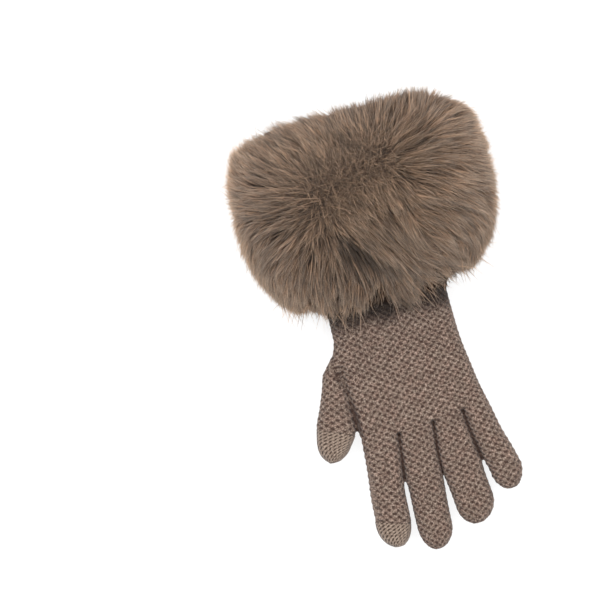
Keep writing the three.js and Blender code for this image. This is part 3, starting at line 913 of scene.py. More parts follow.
def fur_normals(round_share, across, depth):
    """Outward normals of the form, from the cross product of its two directions."""
    normal = unit(np.cross(*form_steps(round_share, across, depth)))
    outside = fur_points(round_share, across, 0 * depth) - fur_points(round_share, across, depth)
    return normal * np.sign((normal * outside).sum(-1, keepdims=True) + 1e-9)


def combed_share(points):
    """About 0 at the crown line, where the hair stands, and 1 where it is combed flat."""
    return smoothstep(-0.1, 1, np.linalg.norm(from_segment(points, CROWN_LINE), axis=1) / COMBED_FLAT)


def comb_directions(points, normals, ways):
    """The way the hair lies: away from the crown line in the plan, swayed by slow waves, along the surface.

    ways are random plan vectors, one for each strand, the same for all of a lock. At the crown they rule, so
    that the locks there cross each other, and from COMBED_FLAT away the hair is all combed.
    """
    away = from_segment(points, CROWN_LINE)
    far = np.linalg.norm(away, axis=1, keepdims=True)
    combed = combed_share(points)[:, None]
    away = away / np.maximum(far, 1) * (0.3 + 0.7 * combed)
    sway = 0.3 * waves(points, 75, seed=11) + 0.2 * waves(points, 24, seed=12)
    sway = sway + 0.16 * ways[:, 0] * combed[:, 0]
    turned = np.stack([away[:, 0] - sway * away[:, 1], away[:, 1] + sway * away[:, 0]], -1)
    turned += CROWN_CROSSING * ways * (1 - combed) ** 2
    comb = np.concatenate([turned, np.zeros((len(points), 1))], -1)
    return comb - normals * (comb * normals).sum(-1, keepdims=True)


def from_segment(points, segment):
    """The plan vectors to points from the nearest place on a segment."""
    start, end = segment
    way = end - start
    share = np.clip((points[:, :2] - start) @ way / (way @ way), 0, 1)
    return points[:, :2] - start - share[:, None] * way


def parting_dent(points):
    """1 along the parting over the wrist, falling to 0 as a bell curve of the distance from it."""
    distance = np.linalg.norm(from_segment(points, PARTING), axis=1)
    return np.exp(-((distance / PARTING_WIDTH) ** 2)) * (points[:, 2] > PARTING_ABOVE)


def scattered_roots(count, depth, rng):
    """Random places on the form: as many to each square millimetre, but more at the crown, fewer in the
    parting, hardly any where it is hollowed, and none on the side that is lain on."""
    rounds, acrosses = 360, 160
    r, c = np.meshgrid(np.arange(rounds) / rounds, -1 + 2 * np.arange(acrosses) / acrosses, indexing="ij")
    at = fur_points(r.ravel() + 0.5 / rounds, c.ravel() + 1 / acrosses, depth)
    onward = fur_points(r.ravel() + 1 / rounds, c.ravel() + 1 / acrosses, depth)
    upward = fur_points(r.ravel() + 0.5 / rounds, np.minimum(c.ravel() + 2 / acrosses, 1), depth)
    area = np.linalg.norm(np.cross(onward - at, upward - at), axis=1)
    weight = area * smoothstep(0.5, 4, at[:, 2])
    weight = weight * (1 - hollowed(at, c.ravel())) * (1 - PARTING_DEPTH * parting_dent(at))
    weight *= 1 + 1.3 * (1 - combed_share(at)) ** 2
    chosen = rng.choice(len(weight), count, p=weight / weight.sum())
    spread = rng.random((2, count))
    return r.ravel()[chosen] + spread[0] / rounds, c.ravel()[chosen] + 2 * spread[1] / acrosses


def hollowed(points, across):
    """The share of the hair that is left out: nearly all above the sleeve at the pile's end, and that from
    further back in the hollows and at the sleeve's edges."""
    hollow, edge = wrist_hollow(points[:, 0]), wrist_edge(points[:, 0])
    over = np.maximum(smoothstep(8, 14, points[:, 2]), edge)
    begins, ends = 0.84 - 0.28 * hollow - 0.1 * edge, 0.9 - 0.26 * hollow - 0.1 * edge
    return smoothstep(begins, ends, -across) * over * 0.97


def nearest(points, centres, chunk=4000):
    """Which centre is nearest to each point, taken some thousands at a time."""
    found = []
    for start in range(0, len(points), chunk):
        part = points[start:start + chunk]
        found.append(((part[:, None, :] - centres[None, :, :]) ** 2).sum(-1).argmin(1))
    return np.concatenate(found)


def lock_places(settings):
    """Where the locks start: places on the form that every mesh of strands shares, and each lock's own
    length, shade and way of lying."""
    rng = np.random.default_rng(7)
    depth = settings.root_depth / MM
    round_share, across = scattered_roots(settings.lock_count, depth, rng)
    lengths, shades = rng.uniform(-1, 1, settings.lock_count), rng.random(settings.lock_count)
    ways = rng.normal(size=(settings.lock_count, 2))
    return round_share, across, depth * np.ones(settings.lock_count), lengths, shades, ways


def laid(round_share, across, depth, comb, distance, hang):
    """The place on the form a distance away along the comb, in the form's own coordinates. Hair that meets
    wrist_limits on its way ends there, and goes little further round the sleeve."""
    onward, upward = form_steps(round_share, across, depth)
    turn = (comb * onward).sum(-1) / (onward**2).sum(-1)
    shift = (comb * upward).sum(-1) / (upward**2).sum(-1)
    there = round_share + turn * distance
    near = np.clip(across + shift * distance, -0.99, 0.99)
    x = fur_points(there, near, depth)[:, 0]
    kept = np.maximum(near, -np.maximum(wrist_limits(x, hang), -across))
    gone = np.where(kept > near, (across - kept) / np.maximum(across - near, 1e-6), 1)
    sideways = 0.15 + 0.85 * gone
    return round_share + turn * distance * sideways, kept


def wrist_limits(x, hang):
    """How near to the wrist end hair may come, as the form's across, where it hangs from 0 to 1.

    In the hollows all but the few hairs that hang most end well short of the sleeve's visible part. Between
    them the hair hangs over it, and less so at the two edges.
    """
    hollow = wrist_hollow(x)
    between, within = 0.82 + 0.17 * hang - 0.32 * wrist_edge(x), 0.48 + 0.12 * hang + 0.25 * hang**8
    return between * (1 - hollow) + within * hollow


def strand_paths(round_share, across, depth, length, ways, hang, settings):
    """Root, middle and tip of strands, the surface's normal and the comb's direction at their roots, and how
    far into the parting they pass.

    A strand is laid along the comb inside the form: it climbs ROOT_CLIMB of its rise in the first ROOT_RUN
    of its run, and lies flatter after that. A length of 1 just ends at the pile's outer form, or lower where
    it passes over the parting. Hair that reaches the wrist end hangs on over the knit.
    """
    root = fur_points(round_share, across, depth)
    normal = fur_normals(round_share, across, depth)
    comb = comb_directions(root, normal, ways)
    rise = (depth + 1.5) * length
    run = settings.run / MM * length * (0.4 + 0.6 * combed_share(root))
    middle_round, middle_across = laid(round_share, across, depth, comb, ROOT_RUN * run, hang)
    dent = parting_dent(fur_points(middle_round, middle_across, 0 * depth))
    middle_depth = depth - ROOT_CLIMB * rise * (1 - PARTING_DEPTH * dent)
    middle = fur_points(middle_round, middle_across, middle_depth)
    onward_comb = comb_directions(middle, fur_normals(middle_round, middle_across, middle_depth), ways)
    onward = (1 - ROOT_RUN) * run
    tip_round, tip_across = laid(middle_round, middle_across, middle_depth, onward_comb, onward, hang)
    tip_dent = parting_dent(fur_points(tip_round, tip_across, 0 * depth))
    tip = fur_points(tip_round, tip_across, depth - rise * (1 - PARTING_DEPTH * tip_dent))
    tip += onward_comb * (OVERHANG * hang**3 * smoothstep(0.82, 0.97, -tip_across))[:, None]
    return root, middle, tip, normal, comb, np.maximum(dent, tip_dent)


def wrist_end(across):
    """0 on the body of the pile, 1 at its end over the wrist."""
    return smoothstep(WRIST_LOCKS, 0.95, -across)


def lock_lengths(points, across, lengths):
    """A lock's length over the mean: even on the body, uneven over the wrist, longer at the low right side,
    and short at the mouth."""
    uneven = 1 + lengths * (0.08 + 0.14 * wrist_end(across))
    side = 0.16 * np.exp(-(((points[:, 0] - 75) / 22) ** 2) - ((points[:, 1] - 48) / 20) ** 2)
    return (uneven + side) * (1 - 0.55 * smoothstep(0.5, 0.88, across))


def over_the_knit(points):
    """The points, lifted onto the sleeve's upper side where they would be inside it."""
    row = along(sleeve_table(), np.clip(points[:, 1], PILE_ON, SLEEVE_END))
    x, a, _, b = section(row)
    inside = (np.abs(points[:, 0] - x) < a - 0.6 * b) & (points[:, 1] < 30)
    lowest = row["top"] + CROWN + 0.8
    height = np.where(inside, np.maximum(points[:, 2], lowest), points[:, 2])
    return np.stack([points[:, 0], points[:, 1], height], -1)


def grow_hair(number, settings):
    """One mesh's strands, drawn together into wisps, and the wisps into pointed locks: the middle a little,
    the tip more.

    Locks are long along the comb and narrow across it, so distance along the comb counts for less. Some
    wisps belong to no lock and lie across the others, as all do at the crown, and some of these at the wrist
    are single hairs that run on over the knit. Besides each lock's and wisp's own random tone, shade and
    light
    are painted into the wisps: they are darker where they lie deep in the pile and in the parting, darker on
    the form's upper side than on its sides, as a painted rim light, and darker towards the wrist, which
    faces away from the key light. They are darker at the crown too. The strands of a wisp share its shade
    but for a random part, and differ a little in place and length. With the strands come their shades, the
    place on the way from dark root to pale tip that each one's own ends have, and their radii.
    """
    rng = np.random.default_rng(100 + number)
    count = settings.strands // settings.wisp
    round_share, across = scattered_roots(count, settings.root_depth / MM, rng)
    depth = settings.root_depth / MM * rng.uniform(0.75, 1.0, count)
    depth = depth * (0.6 + 0.4 * combed_share(fur_points(round_share, across, depth)))
    lock_round, lock_across, lock_depth, lengths, shades, ways = lock_places(settings)
    long = lock_lengths(fur_points(lock_round, lock_across, lock_depth), lock_across, lengths)
    lock = strand_paths(lock_round, lock_across, lock_depth, long, ways, 0.5 + 0.5 * lengths, settings)
    plain = strand_paths(round_share, across, depth, np.ones(count), np.zeros((count, 2)), 0.5, settings)
    mine = nearest(lock_coordinates(*plain[:5]), lock_coordinates(*lock[:5]))
    combed = combed_share(plain[0])
    loose = rng.random(count) < np.maximum(settings.loose, 1 - 1.3 * combed)
    layer = rng.random(count)
    length = lock_lengths(plain[0], across, lengths[mine]) * (0.7 + 0.36 * layer)
    own_way = np.where(loose[:, None], rng.normal(size=(count, 2)), ways[mine])
    hang = np.where(loose, rng.random(count) ** 0.35, 0.5 + 0.5 * lengths[mine])
    root, middle, tip, normal, comb, dent = strand_paths(
        round_share, across, depth, length, own_way, hang, settings
    )
    frizz = rng.normal(size=(count, 3)) * np.where(loose, 1.6, 1)[:, None] * settings.frizz
    ends = np.maximum(wrist_end(across), smoothstep(0.5, 0.9, across))
    frizz = frizz * np.linalg.norm(tip - root, axis=1, keepdims=True) * (1 - 0.5 * ends)[:, None]
    middle, tip = middle + 0.3 * frizz, tip + frizz
    pull = settings.clump * (1 + 0.3 * wrist_end(across)) * rng.uniform(0.5, 1, count)
    pull = pull * (1 - 0.5 * smoothstep(0.5, 0.9, across))
    pull = np.where(loose, 0, np.minimum(pull, 0.92))[:, None]
    flat_comb = unit(comb + 1e-6)
    for place, home, share, free in ((middle, lock[1], 0.4, 1.0), (tip, lock[2], 1.0, 0.75)):
        offset = place - home[mine]
        along_comb = flat_comb * (offset * flat_comb).sum(1)[:, None]
        place -= share * pull * (offset - free * along_comb)
    on_top = root[:, 2] > 12
    droop = DROOP * wrist_end(across) * on_top
    middle[:, 2] -= 0.25 * droop
    tip[:, 2] -= droop
    stray = loose & on_top & (across < -STRAY_FROM) & (rng.random(count) < STRAY_SHARE)
    tip = tip + unit(tip - middle) * (stray * rng.uniform(*STRAY_REACH, count))[:, None]
    # Each lock's and wisp's own random tone, and painted shade: wisps that lie deeper in the pile are darker
    shade = 0.3 * shades[mine] + 0.45 * rng.random(count) ** 2 + 0.4 * layer
    # Painted rim light: the form's sides and underside are paler than its upper side
    shade = shade + 0.36 * (0.4 - np.maximum(normal[:, 2], 0))
    # Stray hairs are paler. Painted shade darkens the side facing the wrist and the parting; the crown is
    # darker too
    shade = shade + 0.2 * stray + 0.26 * normal[:, 1] - 0.45 * dent - 0.19 * (1 - combed)
    standing = 1 - combed
    root, middle, tip, shade, standing = (
        np.repeat(values, settings.wisp, 0) for values in (root, middle, tip, shade, standing)
    )
    count = len(root)
    own = rng.normal(size=(3, count, 3)) * np.array(WISP_SPREAD)[:, None, None]
    root, middle = root + own[0], middle + own[1]
    tip = over_the_knit(middle + (tip - middle) * rng.uniform(0.75, 1.08, count)[:, None] + own[2])
    shade = np.clip(shade + 0.5 * (rng.random(count) - 0.5), 0, 1.15)
    # At the crown the roots start paler and the tips end less pale, which weakens the painted root shade
    # there
    tones = np.stack([0.35 * standing, 0.5 + 0.08 * standing, 1 - 0.15 * standing], -1)
    return root, middle, tip, shade, tones, rng.uniform(0.7, 1.15, count) * settings.radius / MM


def lock_coordinates(root, middle, tip, normal, comb):
    """Places in which a lock's strands are near each other: along the comb counts less than across."""
    sideways = np.cross(normal, unit(comb + 1e-6))
    across = LOCK_ACROSS * sideways * (middle * sideways).sum(1)[:, None]
    return np.concatenate([LOCK_NEARNESS * middle, across], 1)


def strand_meshes(name, root, middle, tip, shade, tones, radius):
    """Closed strands in one mesh, each of six triangles: a point at the root, three points round the middle
    and a point at the tip. Their UVs hold the strand's shade and the place from dark root to pale tip."""
    count = len(root)
    way = unit(tip - root)
    side = unit(np.cross(way, np.array([0.21, 0.13, 0.97])))
    other = np.cross(way, side)
    angle = np.arange(3) * 2 * np.pi / 3
    cosine, sine = np.cos(angle)[None, :, None], np.sin(angle)[None, :, None]
    circle = side[:, None, :] * cosine + other[:, None, :] * sine
    waist = middle[:, None] + radius[:, None, None] * circle
    points = np.concatenate([root[:, None], waist, tip[:, None]], 1)
    points[..., 2] = np.maximum(points[..., 2], 0.2)
    k = np.arange(3)
    after = (k + 1) % 3
    to_root, to_tip = [0 * k, after + 1, k + 1], [k + 1, after + 1, 0 * k + 4]
    faces = np.concatenate([np.stack(to_root, -1), np.stack(to_tip, -1)])
    triangles = ((np.arange(count) * 5)[:, None, None] + faces).reshape(-1, 3)
    level = np.array([0, 1, 1, 1, 2])
    corner = triangles.ravel()
    uv = np.stack([shade[corner // 5], tones[corner // 5, level[corner % 5]]], -1)
    return mesh_object(name, points.reshape(-1, 3), triangles=triangles, uvs={"strand": uv})


# Settings that a user would change. Colours are sRGB hex.


class KnitSettings(bpy.types.PropertyGroup):
    stitch: bpy.props.FloatProperty(name="Stitch", description="Width of one stitch", default=5.44 * MM,
                                    unit="LENGTH")
    course: bpy.props.FloatProperty(name="Courses", description="Height of two courses", default=4.2 * MM,
                                    unit="LENGTH")
    relief: bpy.props.FloatProperty(name="Relief", description="Depth of the pits", default=0.6 * MM,
                                    unit="LENGTH")
    voxel: bpy.props.FloatProperty(name="Mesh step", description="Spacing of the skin's mesh",
                                   default=0.68 * MM, unit="LENGTH")
    # Strength and colour of the painted shade in the knit's pits
    painted_pit_shade_strength: bpy.props.FloatProperty(name="Pit shade", description="Darkness of the pits", default=0.88,
                                          subtype="FACTOR")
    painted_pit_shade_colour: bpy.props.StringProperty(name="Painted pit shade", description="Painted shade deep in a pit",
                                       default="#33211a")
    # Colour of the painted shadow under the pile's end
    yarn_shadow: bpy.props.StringProperty(name="Under the pile", description="The knit where the pile ends",
                                          default="#110a07")
    yarn_dark: bpy.props.StringProperty(name="Dark fibres", description="The darkest fibres spun in",
                                        default="#47382f")
    yarn_middle: bpy.props.StringProperty(name="Middle fibres", description="Most of the dark fibres",
                                          default="#715e55")
    yarn_light: bpy.props.StringProperty(name="Light fibres", description="Most of the light fibres",
                                         default="#958276")
    yarn_pale: bpy.props.StringProperty(name="Pale fibres", description="Single fibres that catch the light",
                                        default="#c4b3a7")
    tint_grey: bpy.props.StringProperty(name="Greyer tint", description="Where the yarn turns to grey",
                                        default="#83847c")
    tint_plain: bpy.props.StringProperty(name="Plain tint", description="The yarn's plain tint",
                                         default="#847f77")
    tint_pink: bpy.props.StringProperty(name="Pinker tint", description="Where the yarn turns to pink",
                                        default="#8c7e75")
    # Strength and colour of the painted shade in the caps' grooves
    painted_groove_shade_strength: bpy.props.FloatProperty(name="Cap groove shade", description="Darkness of the grooves",
                                          default=0.95, subtype="FACTOR")
    painted_groove_shade_colour: bpy.props.StringProperty(name="Cap grooves", description="Painted shade in the groove beside a stitch",
                                       default="#33241b")
    cap_middle: bpy.props.StringProperty(name="Cap yarn", description="The caps' darker fibres",
                                         default="#64544a")
    cap_light: bpy.props.StringProperty(name="Cap light yarn", description="Most of the caps' yarn",
                                        default="#7d6c5f")
    cap_pale: bpy.props.StringProperty(name="Cap highlights", description="The caps' palest fibres",
                                       default="#a08f80")
    cap_stitch: bpy.props.FloatProperty(name="Cap stitch", description="Width of one stitch of the caps",
                                        default=2.9 * MM, unit="LENGTH")
    cap_course: bpy.props.FloatProperty(name="Cap course", description="Height of one course of the caps",
                                        default=2.05 * MM, unit="LENGTH")


class FurSettings(bpy.types.PropertyGroup):
    pieces: bpy.props.IntProperty(name="Meshes", description="Meshes that the hair is shared between",
                                  default=4)
    strands: bpy.props.IntProperty(name="Strands", description="Strands in each mesh", default=28000)
    wisp: bpy.props.IntProperty(name="Wisp", description="Strands that lie together in a wisp", default=2)
    lock_count: bpy.props.IntProperty(name="Locks", description="Locks that all the strands share",
                                      default=2400)
    loose: bpy.props.FloatProperty(name="Loose strands", description="Share that belongs to no lock",
                                   default=0.15, subtype="FACTOR")
    root_depth: bpy.props.FloatProperty(name="Root depth", description="How deep in the pile strands start",
                                        default=13 * MM, unit="LENGTH")
    radius: bpy.props.FloatProperty(name="Radius", description="Of a strand at its middle",
                                    default=0.156 * MM, unit="LENGTH")
    run: bpy.props.FloatProperty(name="Run", description="How far a strand lies along the comb",
                                 default=26 * MM, unit="LENGTH")
    frizz: bpy.props.FloatProperty(name="Frizz", description="Spread of a strand's tip over its length",
                                   default=0.07)
    clump: bpy.props.FloatProperty(name="Clump", description="Pull of a lock on its strands' tips",
                                   default=0.68, subtype="FACTOR")
    # The underfur's colours, partly its own and partly painted shade of the deep pile
    underfur_gap_colour_and_shade: bpy.props.StringProperty(name="Underfur dark", description="Between its tufts",
                                            default="#120c09")
    underfur_tuft_colour_and_shade: bpy.props.StringProperty(name="Underfur light", description="On its tufts",
                                             default="#30231b")
    # The root's dark is partly the hair's own colour and partly painted shade of the deep pile
    hair_root: bpy.props.StringProperty(name="Root", description="A strand at its root",
                                        default="#231810")
    hair_low: bpy.props.StringProperty(name="Low", description="A strand a third of the way up",
                                       default="#533e30")
    hair_middle: bpy.props.StringProperty(name="Middle", description="A strand two thirds of the way up",
                                          default="#9c7f67")
    hair_tip: bpy.props.StringProperty(name="Tip", description="A strand at its tip", default="#d3b9a0")
    # Factors on the strands' colour for their tone with painted shade and painted rim light
    darkest_tone_and_shade: bpy.props.FloatProperty(name="Darkest lock", description="Factor on its colour",
                                          default=0.2)
    palest_tone_and_light: bpy.props.FloatProperty(name="Palest lock", description="Factor on its colour",
                                         default=2.0)


class StageSettings(bpy.types.PropertyGroup):
    field: bpy.props.FloatProperty(name="Field", description="Width that the camera sees", default=378 * MM,
                                   unit="LENGTH")
    height: bpy.props.FloatProperty(name="Camera height", description="Above the surface", default=1.9,
                                    unit="LENGTH")
    roll: bpy.props.FloatProperty(name="Roll", description="Turn of the camera about its axis",
                                  default=-np.radians(15), unit="ROTATION")
    ambient: bpy.props.FloatProperty(name="Ambient", description="Strength of the white room", default=1.15)
    table: bpy.props.StringProperty(name="Table", description="The table's own colour, under its glow",
                                    default="#888888")
    glow: bpy.props.FloatProperty(name="Glow", description="Light that comes up through the table",
                                  default=0.8)


# Operators


class GLOVE_OT_camera(bpy.types.Operator):
    """Puts the camera straight above the place that the picture's middle shows, turned as the picture is"""
    bl_idname = "glove.camera"
    bl_label = "Camera"

    def execute(self, context):
        settings = context.scene.glove_stage
        camera = bpy.data.objects.new("camera", bpy.data.cameras.new("camera"))
        context.collection.objects.link(camera)
        x, y, _ = (PICTURE_MIDDLE + SHIFT) * MM
        camera.location = (x, y, settings.height)
        camera.rotation_euler = (0, 0, settings.roll)
        camera.data.sensor_width = SENSOR_WIDTH
        camera.data.lens = SENSOR_WIDTH * settings.height / settings.field
        camera.data.clip_end = 10
        context.scene.camera = camera
        return {"FINISHED"}


class GLOVE_OT_knit(bpy.types.Operator):
    """Knits the skin of the palm, fingers and thumb: tubes fused to one surface, then stitched in relief"""
    bl_idname = "glove.knit"
    bl_label = "Knitted skin"

    def execute(self, context):
        settings = context.scene.glove_knit
        skin = joined("knit_skin", knit_tubes(0, SKIN_STEP, SKIN_SIDES))
        fuse = skin.modifiers.new("fuse", "REMESH")
        fuse.mode = "VOXEL"
        fuse.voxel_size = settings.voxel
        relax = skin.modifiers.new("relax", "SMOOTH")
        relax.iterations = 6
        applied(skin)
        points, normals = points_of(skin.data), normals_of(skin.data)
        stitch, course = settings.stitch / MM, settings.course / MM
        u, v, _ = stitches_at(points, owner_of(points), stitch, course)
        limp = 0.35 * waves(points, 38, seed=3) * smoothstep(1, 6, points[:, 2])
        fold = crease(points) * smoothstep(2, 8, points[:, 2])
        shaded = pile_shadow(points)
        height = settings.relief / MM * stitch_relief(u, v) * (1 - 0.8 * fold) + limp
        height = height - 1.2 * fold * np.maximum(normals[:, 2], 0)
        points = points + normals * height[:, None]
        points[:, 2] = np.maximum(points[:, 2], ON_TABLE)
        skin.data.vertices.foreach_set("co", ((points + SHIFT) * MM).astype(np.float32).ravel())
        skin.data.update()
        uv, corner = corner_uvs(skin.data, stitch, course)
        skin.data.uv_layers.new(name="stitches").data.foreach_set("uv", uv.astype(np.float32).ravel())
        # fold also sinks the knit above; it and shaded are kept here as painted shade for the knit's colour
        painted_shade_uv = np.stack([fold[corner], shaded[corner]], -1)
        skin.data.uv_layers.new(name="creases").data.foreach_set("uv", painted_shade_uv.astype(np.float32).ravel())
        for cutter in knit_tubes(KNIT_WALL, HOLLOW_STEP, HOLLOW_SIDES):
            hollow = skin.modifiers.new("hollow", "BOOLEAN")
            hollow.operation = "DIFFERENCE"
            hollow.solver = "MANIFOLD"
            hollow.object = cutter
            applied(skin)
            bpy.data.objects.remove(cutter)
        skin.data.shade_smooth()
        fewest = 20000
        if len(skin.data.polygons) < fewest:
            raise RuntimeError("the knitted skin came out empty")
        settle(skin, "knit", heathered_wool_knit(settings),
               "palm", "index_finger", "middle_finger", "ring_finger", "little_finger", "thumb")
        return {"FINISHED"}


class GLOVE_OT_lining(bpy.types.Operator):
    """Carries the knitted tube on under the fur to its rim, as two walls that meet at both ends"""
    bl_idname = "glove.lining"
    bl_label = "Sleeve under the fur"

    def execute(self, context):
        settings = context.scene.glove_knit
        count = LINING_SIDES
        shares = np.arange(count) / count
        y = np.linspace(SLEEVE_START + PIECE_GAP, SLEEVE_END, LINING_ROWS)
        walls = []
        for inset, levels in ((0.2, y), (KNIT_WALL, y[::-1])):
            ring = rings(levels, sleeve_section(inset), shares)
            u = np.broadcast_to(shares * PALM_STITCHES, ring.shape[:2])
            v = np.broadcast_to(-levels[:, None] * MM / settings.course, ring.shape[:2])
            sign = 1 if inset < 1 else -1
            outwards = unit(ring - ring.mean(1, keepdims=True) * [1, 0, 1] - ring * [0, 1, 0])
            walls.append(ring + sign * 0.25 * stitch_relief(u, v)[..., None] * outwards)
        points = np.concatenate(walls)
        rows = len(points)
        i, k = np.meshgrid(np.arange(rows), np.arange(count), indexing="ij")
        after_row, after = (i + 1) % rows, (k + 1) % count
        here, next_row = i * count, after_row * count
        quads = np.stack([here + k, here + after, next_row + after, next_row + k], -1)
        step = np.stack([k, k + 1, k + 1, k], -1) / count * PALM_STITCHES
        levels = np.concatenate([y, y[::-1]])
        v_here = -levels[i] * MM / settings.course
        v_next = -levels[after_row] * MM / settings.course
        uv = np.stack([step, np.stack([v_here, v_here, v_next, v_next], -1)], -1)
        lining = mesh_object("sleeve_lining", points.reshape(-1, 3), quads, uvs={"stitches": uv})
        turned_outwards(lining)
        settle(lining, "knit", bpy.data.materials["heathered wool tuck knit"], "sleeve")
        return {"FINISHED"}


class GLOVE_OT_caps(bpy.types.Operator):
    """Makes the plain-knit caps that close the index finger and the thumb"""
    bl_idname = "glove.caps"
    bl_label = "Fingertip caps"

    def execute(self, context):
        settings = context.scene.glove_knit
        material = plain_stockinette(settings)
        for name, cap in CAPS.items():
            tube = TUBES[cap["on"]]
            start, last, tip = cap["at"][1] + 0.6, tube["rows"][-1][0], tube["tip"][1]
            wales = 5 * int(round(CAP_WIDTH / (settings.cap_stitch / MM)))
            count = wales * CAP_COLUMNS
            shares = np.arange(count) / count
            straight = np.array([start])
            if start > last:
                straight = np.linspace(start, last, max(int((start - last) / CAP_STEP), 2))
            y = np.concatenate([straight, dome_levels(straight[-1], tip + 0.02, CAP_STEP)])
            outer = rings(y, finger_section(tube, -0.15), shares, cap["tilt"] * smoothstep(tip, tip + 12, y))
            way = np.linalg.norm(np.diff(outer[:, 0], axis=0), axis=1)
            travelled = np.concatenate([[0], np.cumsum(way)])
            v = np.broadcast_to(travelled[:, None] * MM / settings.cap_course, outer.shape[:2])
            u = np.broadcast_to(shares * wales, outer.shape[:2])
            around = np.linalg.norm(outer - np.roll(outer, 1, axis=1), axis=-1).mean(1)
            fade = smoothstep(0.06, 0.25, around)[:, None] * smoothstep(0, 0.5, v)
            leg = np.cos(2 * np.pi * (v + CAP_LEAN * u)) + CAP_BREAK * np.cos(2 * np.pi * u)
            middle = outer.mean(1, keepdims=True)
            relief = -0.22 * smoothstep(0.2, 1, leg) * fade
            outer = outer + relief[..., None] * unit(outer - middle)
            outer[..., 2] = np.maximum(outer[..., 2], ON_TABLE)
            inner = rings(y[:1], finger_section(tube, KNIT_WALL), shares, cap["tilt"])
            points = np.concatenate([inner, outer])
            rows = len(points)
            flat = np.concatenate([points.reshape(-1, 3), points[0].mean(0)[None] - [0, 12, 0],
                                   points[-1].mean(0)[None]])
            quads, ends = grid_quads(rows, count), end_fans(rows, count)
            corner = np.concatenate([quads.ravel(), ends.ravel()])
            all_u = np.concatenate([np.tile(shares * wales, rows), [0, 0]])
            all_v = np.concatenate([[0] * count, v.ravel(), [0, v[-1, 0]]])
            uv = np.stack([all_u[corner], all_v[corner]], -1)
            wrapped = (quads % count == 0) & (np.roll(quads, 1, axis=1) % count == count - 1)
            wrapped |= (quads % count == 0) & (np.roll(quads, -1, axis=1) % count == count - 1)
            uv[: quads.size, 0] += wrapped.ravel() * wales
            piece = turned_outwards(mesh_object(name, flat, quads, ends, {"stitches": uv}))
            settle(piece, "cap_knit", material, cap["node"])
        return {"FINISHED"}


class GLOVE_OT_undercoat(bpy.types.Operator):
    """Makes the dense body of the pile: a ring round the sleeve, rumpled, and flat where it is lain on"""
    bl_idname = "glove.undercoat"
    bl_label = "Underfur"

    def execute(self, context):
        settings = context.scene.glove_fur
        rounds, acrosses, inners = 260, 90, 10
        share = np.arange(rounds) / rounds
        depth = settings.root_depth / MM - 2.5
        r, c = np.meshgrid(share, np.linspace(-1, 1, acrosses), indexing="ij")
        outer = fur_points(r, c, depth)
        normal = fur_normals(r, c, depth + 0 * r)
        lumps = 1.6 * waves(outer, 11, seed=21) + 0.9 * waves(outer, 5, seed=22)
        flat = outer.reshape(-1, 3)
        dent = (6 * parting_dent(flat) - 4 * (1 - combed_share(flat)) ** 2).reshape(r.shape)
        outer = outer + normal * ((lumps - dent) * smoothstep(1, 0.8, np.abs(c)))[..., None]
        outer[..., 1] -= smoothstep(0.75, 1, -c) * (5 + 2 * waves(outer, 13, seed=23))
        r, s = np.meshgrid(share, np.linspace(0, 1, inners), indexing="ij")
        points = np.concatenate([outer, bore_points(r, s)], 1)
        points[..., 2] = np.maximum(points[..., 2], 0.4)
        count = points.shape[1]
        i, k = np.meshgrid(np.arange(rounds), np.arange(count), indexing="ij")
        after_i, after_k = (i + 1) % rounds, (k + 1) % count
        here, next_row = i * count, after_i * count
        quads = np.stack([here + k, next_row + k, next_row + after_k, here + after_k], -1)
        body = turned_outwards(mesh_object("fur_undercoat", points.reshape(-1, 3), quads))
        settle(body, "fur", dense_undercoat(settings), "fur_cuff")
        return {"FINISHED"}


class GLOVE_OT_hair(bpy.types.Operator):
    """Grows the guard hair in combed locks over the underfur, as closed strands joined in a few meshes"""
    bl_idname = "glove.hair"
    bl_label = "Guard hair"

    def execute(self, context):
        settings = context.scene.glove_fur
        material = dyed_guard_hair(settings)
        for number in range(settings.pieces):
            piece = strand_meshes(f"fur_pile_{number + 1}", *grow_hair(number, settings))
            settle(piece, "fur", material)
        return {"FINISHED"}


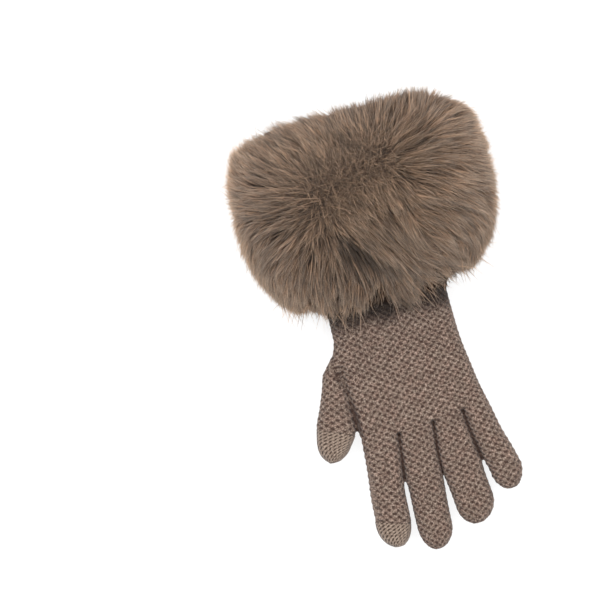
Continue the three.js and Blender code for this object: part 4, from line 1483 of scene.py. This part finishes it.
class GLOVE_OT_stage(bpy.types.Operator):
    """Lays the backlit white table and hangs the soft lights"""
    bl_idname = "glove.stage"
    bl_label = "Stage"

    def execute(self, context):
        settings = context.scene.glove_stage
        corners = np.array([[-1, -1, 0], [1, -1, 0], [1, 1, 0], [-1, 1, 0]]) * TABLE_HALF
        table = mesh_object("table", corners - SHIFT * [0, 0, 1], np.array([[0, 1, 2, 3]]))
        table.data.materials.append(backlit_acrylic(settings))
        world = bpy.data.worlds.new("white room")
        world.use_nodes = True
        world.node_tree.nodes["Background"].inputs["Color"].default_value = (1, 1, 1, 1)
        world.node_tree.nodes["Background"].inputs["Strength"].default_value = settings.ambient
        context.scene.world = world
        context.scene.view_settings.view_transform = "Standard"
        for name, place, size, energy in LAMPS:
            lamp = bpy.data.lights.new(name, "AREA")
            lamp.size = size
            lamp.energy = energy
            light = bpy.data.objects.new(name, lamp)
            light.location = place
            aim = -np.array(place)
            lean = np.arccos(-aim[2] / np.linalg.norm(aim))
            light.rotation_euler = (lean, 0, np.arctan2(aim[1], aim[0]) - np.pi / 2)
            context.collection.objects.link(light)
        return {"FINISHED"}


class GLOVE_PT_panel(bpy.types.Panel):
    """Lists the glove's operators and the settings behind them"""
    bl_label = "Fur-cuff knit glove"
    bl_idname = "GLOVE_PT_panel"
    bl_space_type = "VIEW_3D"
    bl_region_type = "UI"
    bl_category = "Glove"

    def draw(self, context):
        for operator in OPERATORS:
            self.layout.operator(operator.bl_idname)
        for group in GROUPS:
            box = self.layout.box()
            for name in GROUPS[group].__annotations__:
                box.prop(getattr(context.scene, group), name)


GROUPS = {"glove_knit": KnitSettings, "glove_fur": FurSettings, "glove_stage": StageSettings}
OPERATORS = (
    GLOVE_OT_camera,
    GLOVE_OT_knit,
    GLOVE_OT_lining,
    GLOVE_OT_caps,
    GLOVE_OT_undercoat,
    GLOVE_OT_hair,
    GLOVE_OT_stage,
)


def register():
    for made in (*GROUPS.values(), *OPERATORS, GLOVE_PT_panel):
        bpy.utils.register_class(made)
    for name, group in GROUPS.items():
        setattr(bpy.types.Scene, name, bpy.props.PointerProperty(type=group))


def unregister():
    for name in GROUPS:
        delattr(bpy.types.Scene, name)
    for made in reversed((*GROUPS.values(), *OPERATORS, GLOVE_PT_panel)):
        bpy.utils.unregister_class(made)


def main():
    register()
    bpy.ops.glove.camera()
    bpy.ops.glove.knit()
    bpy.ops.glove.lining()
    bpy.ops.glove.caps()
    bpy.ops.glove.undercoat()
    bpy.ops.glove.hair()
    bpy.ops.glove.stage()


if __name__ == "__main__":
    main()
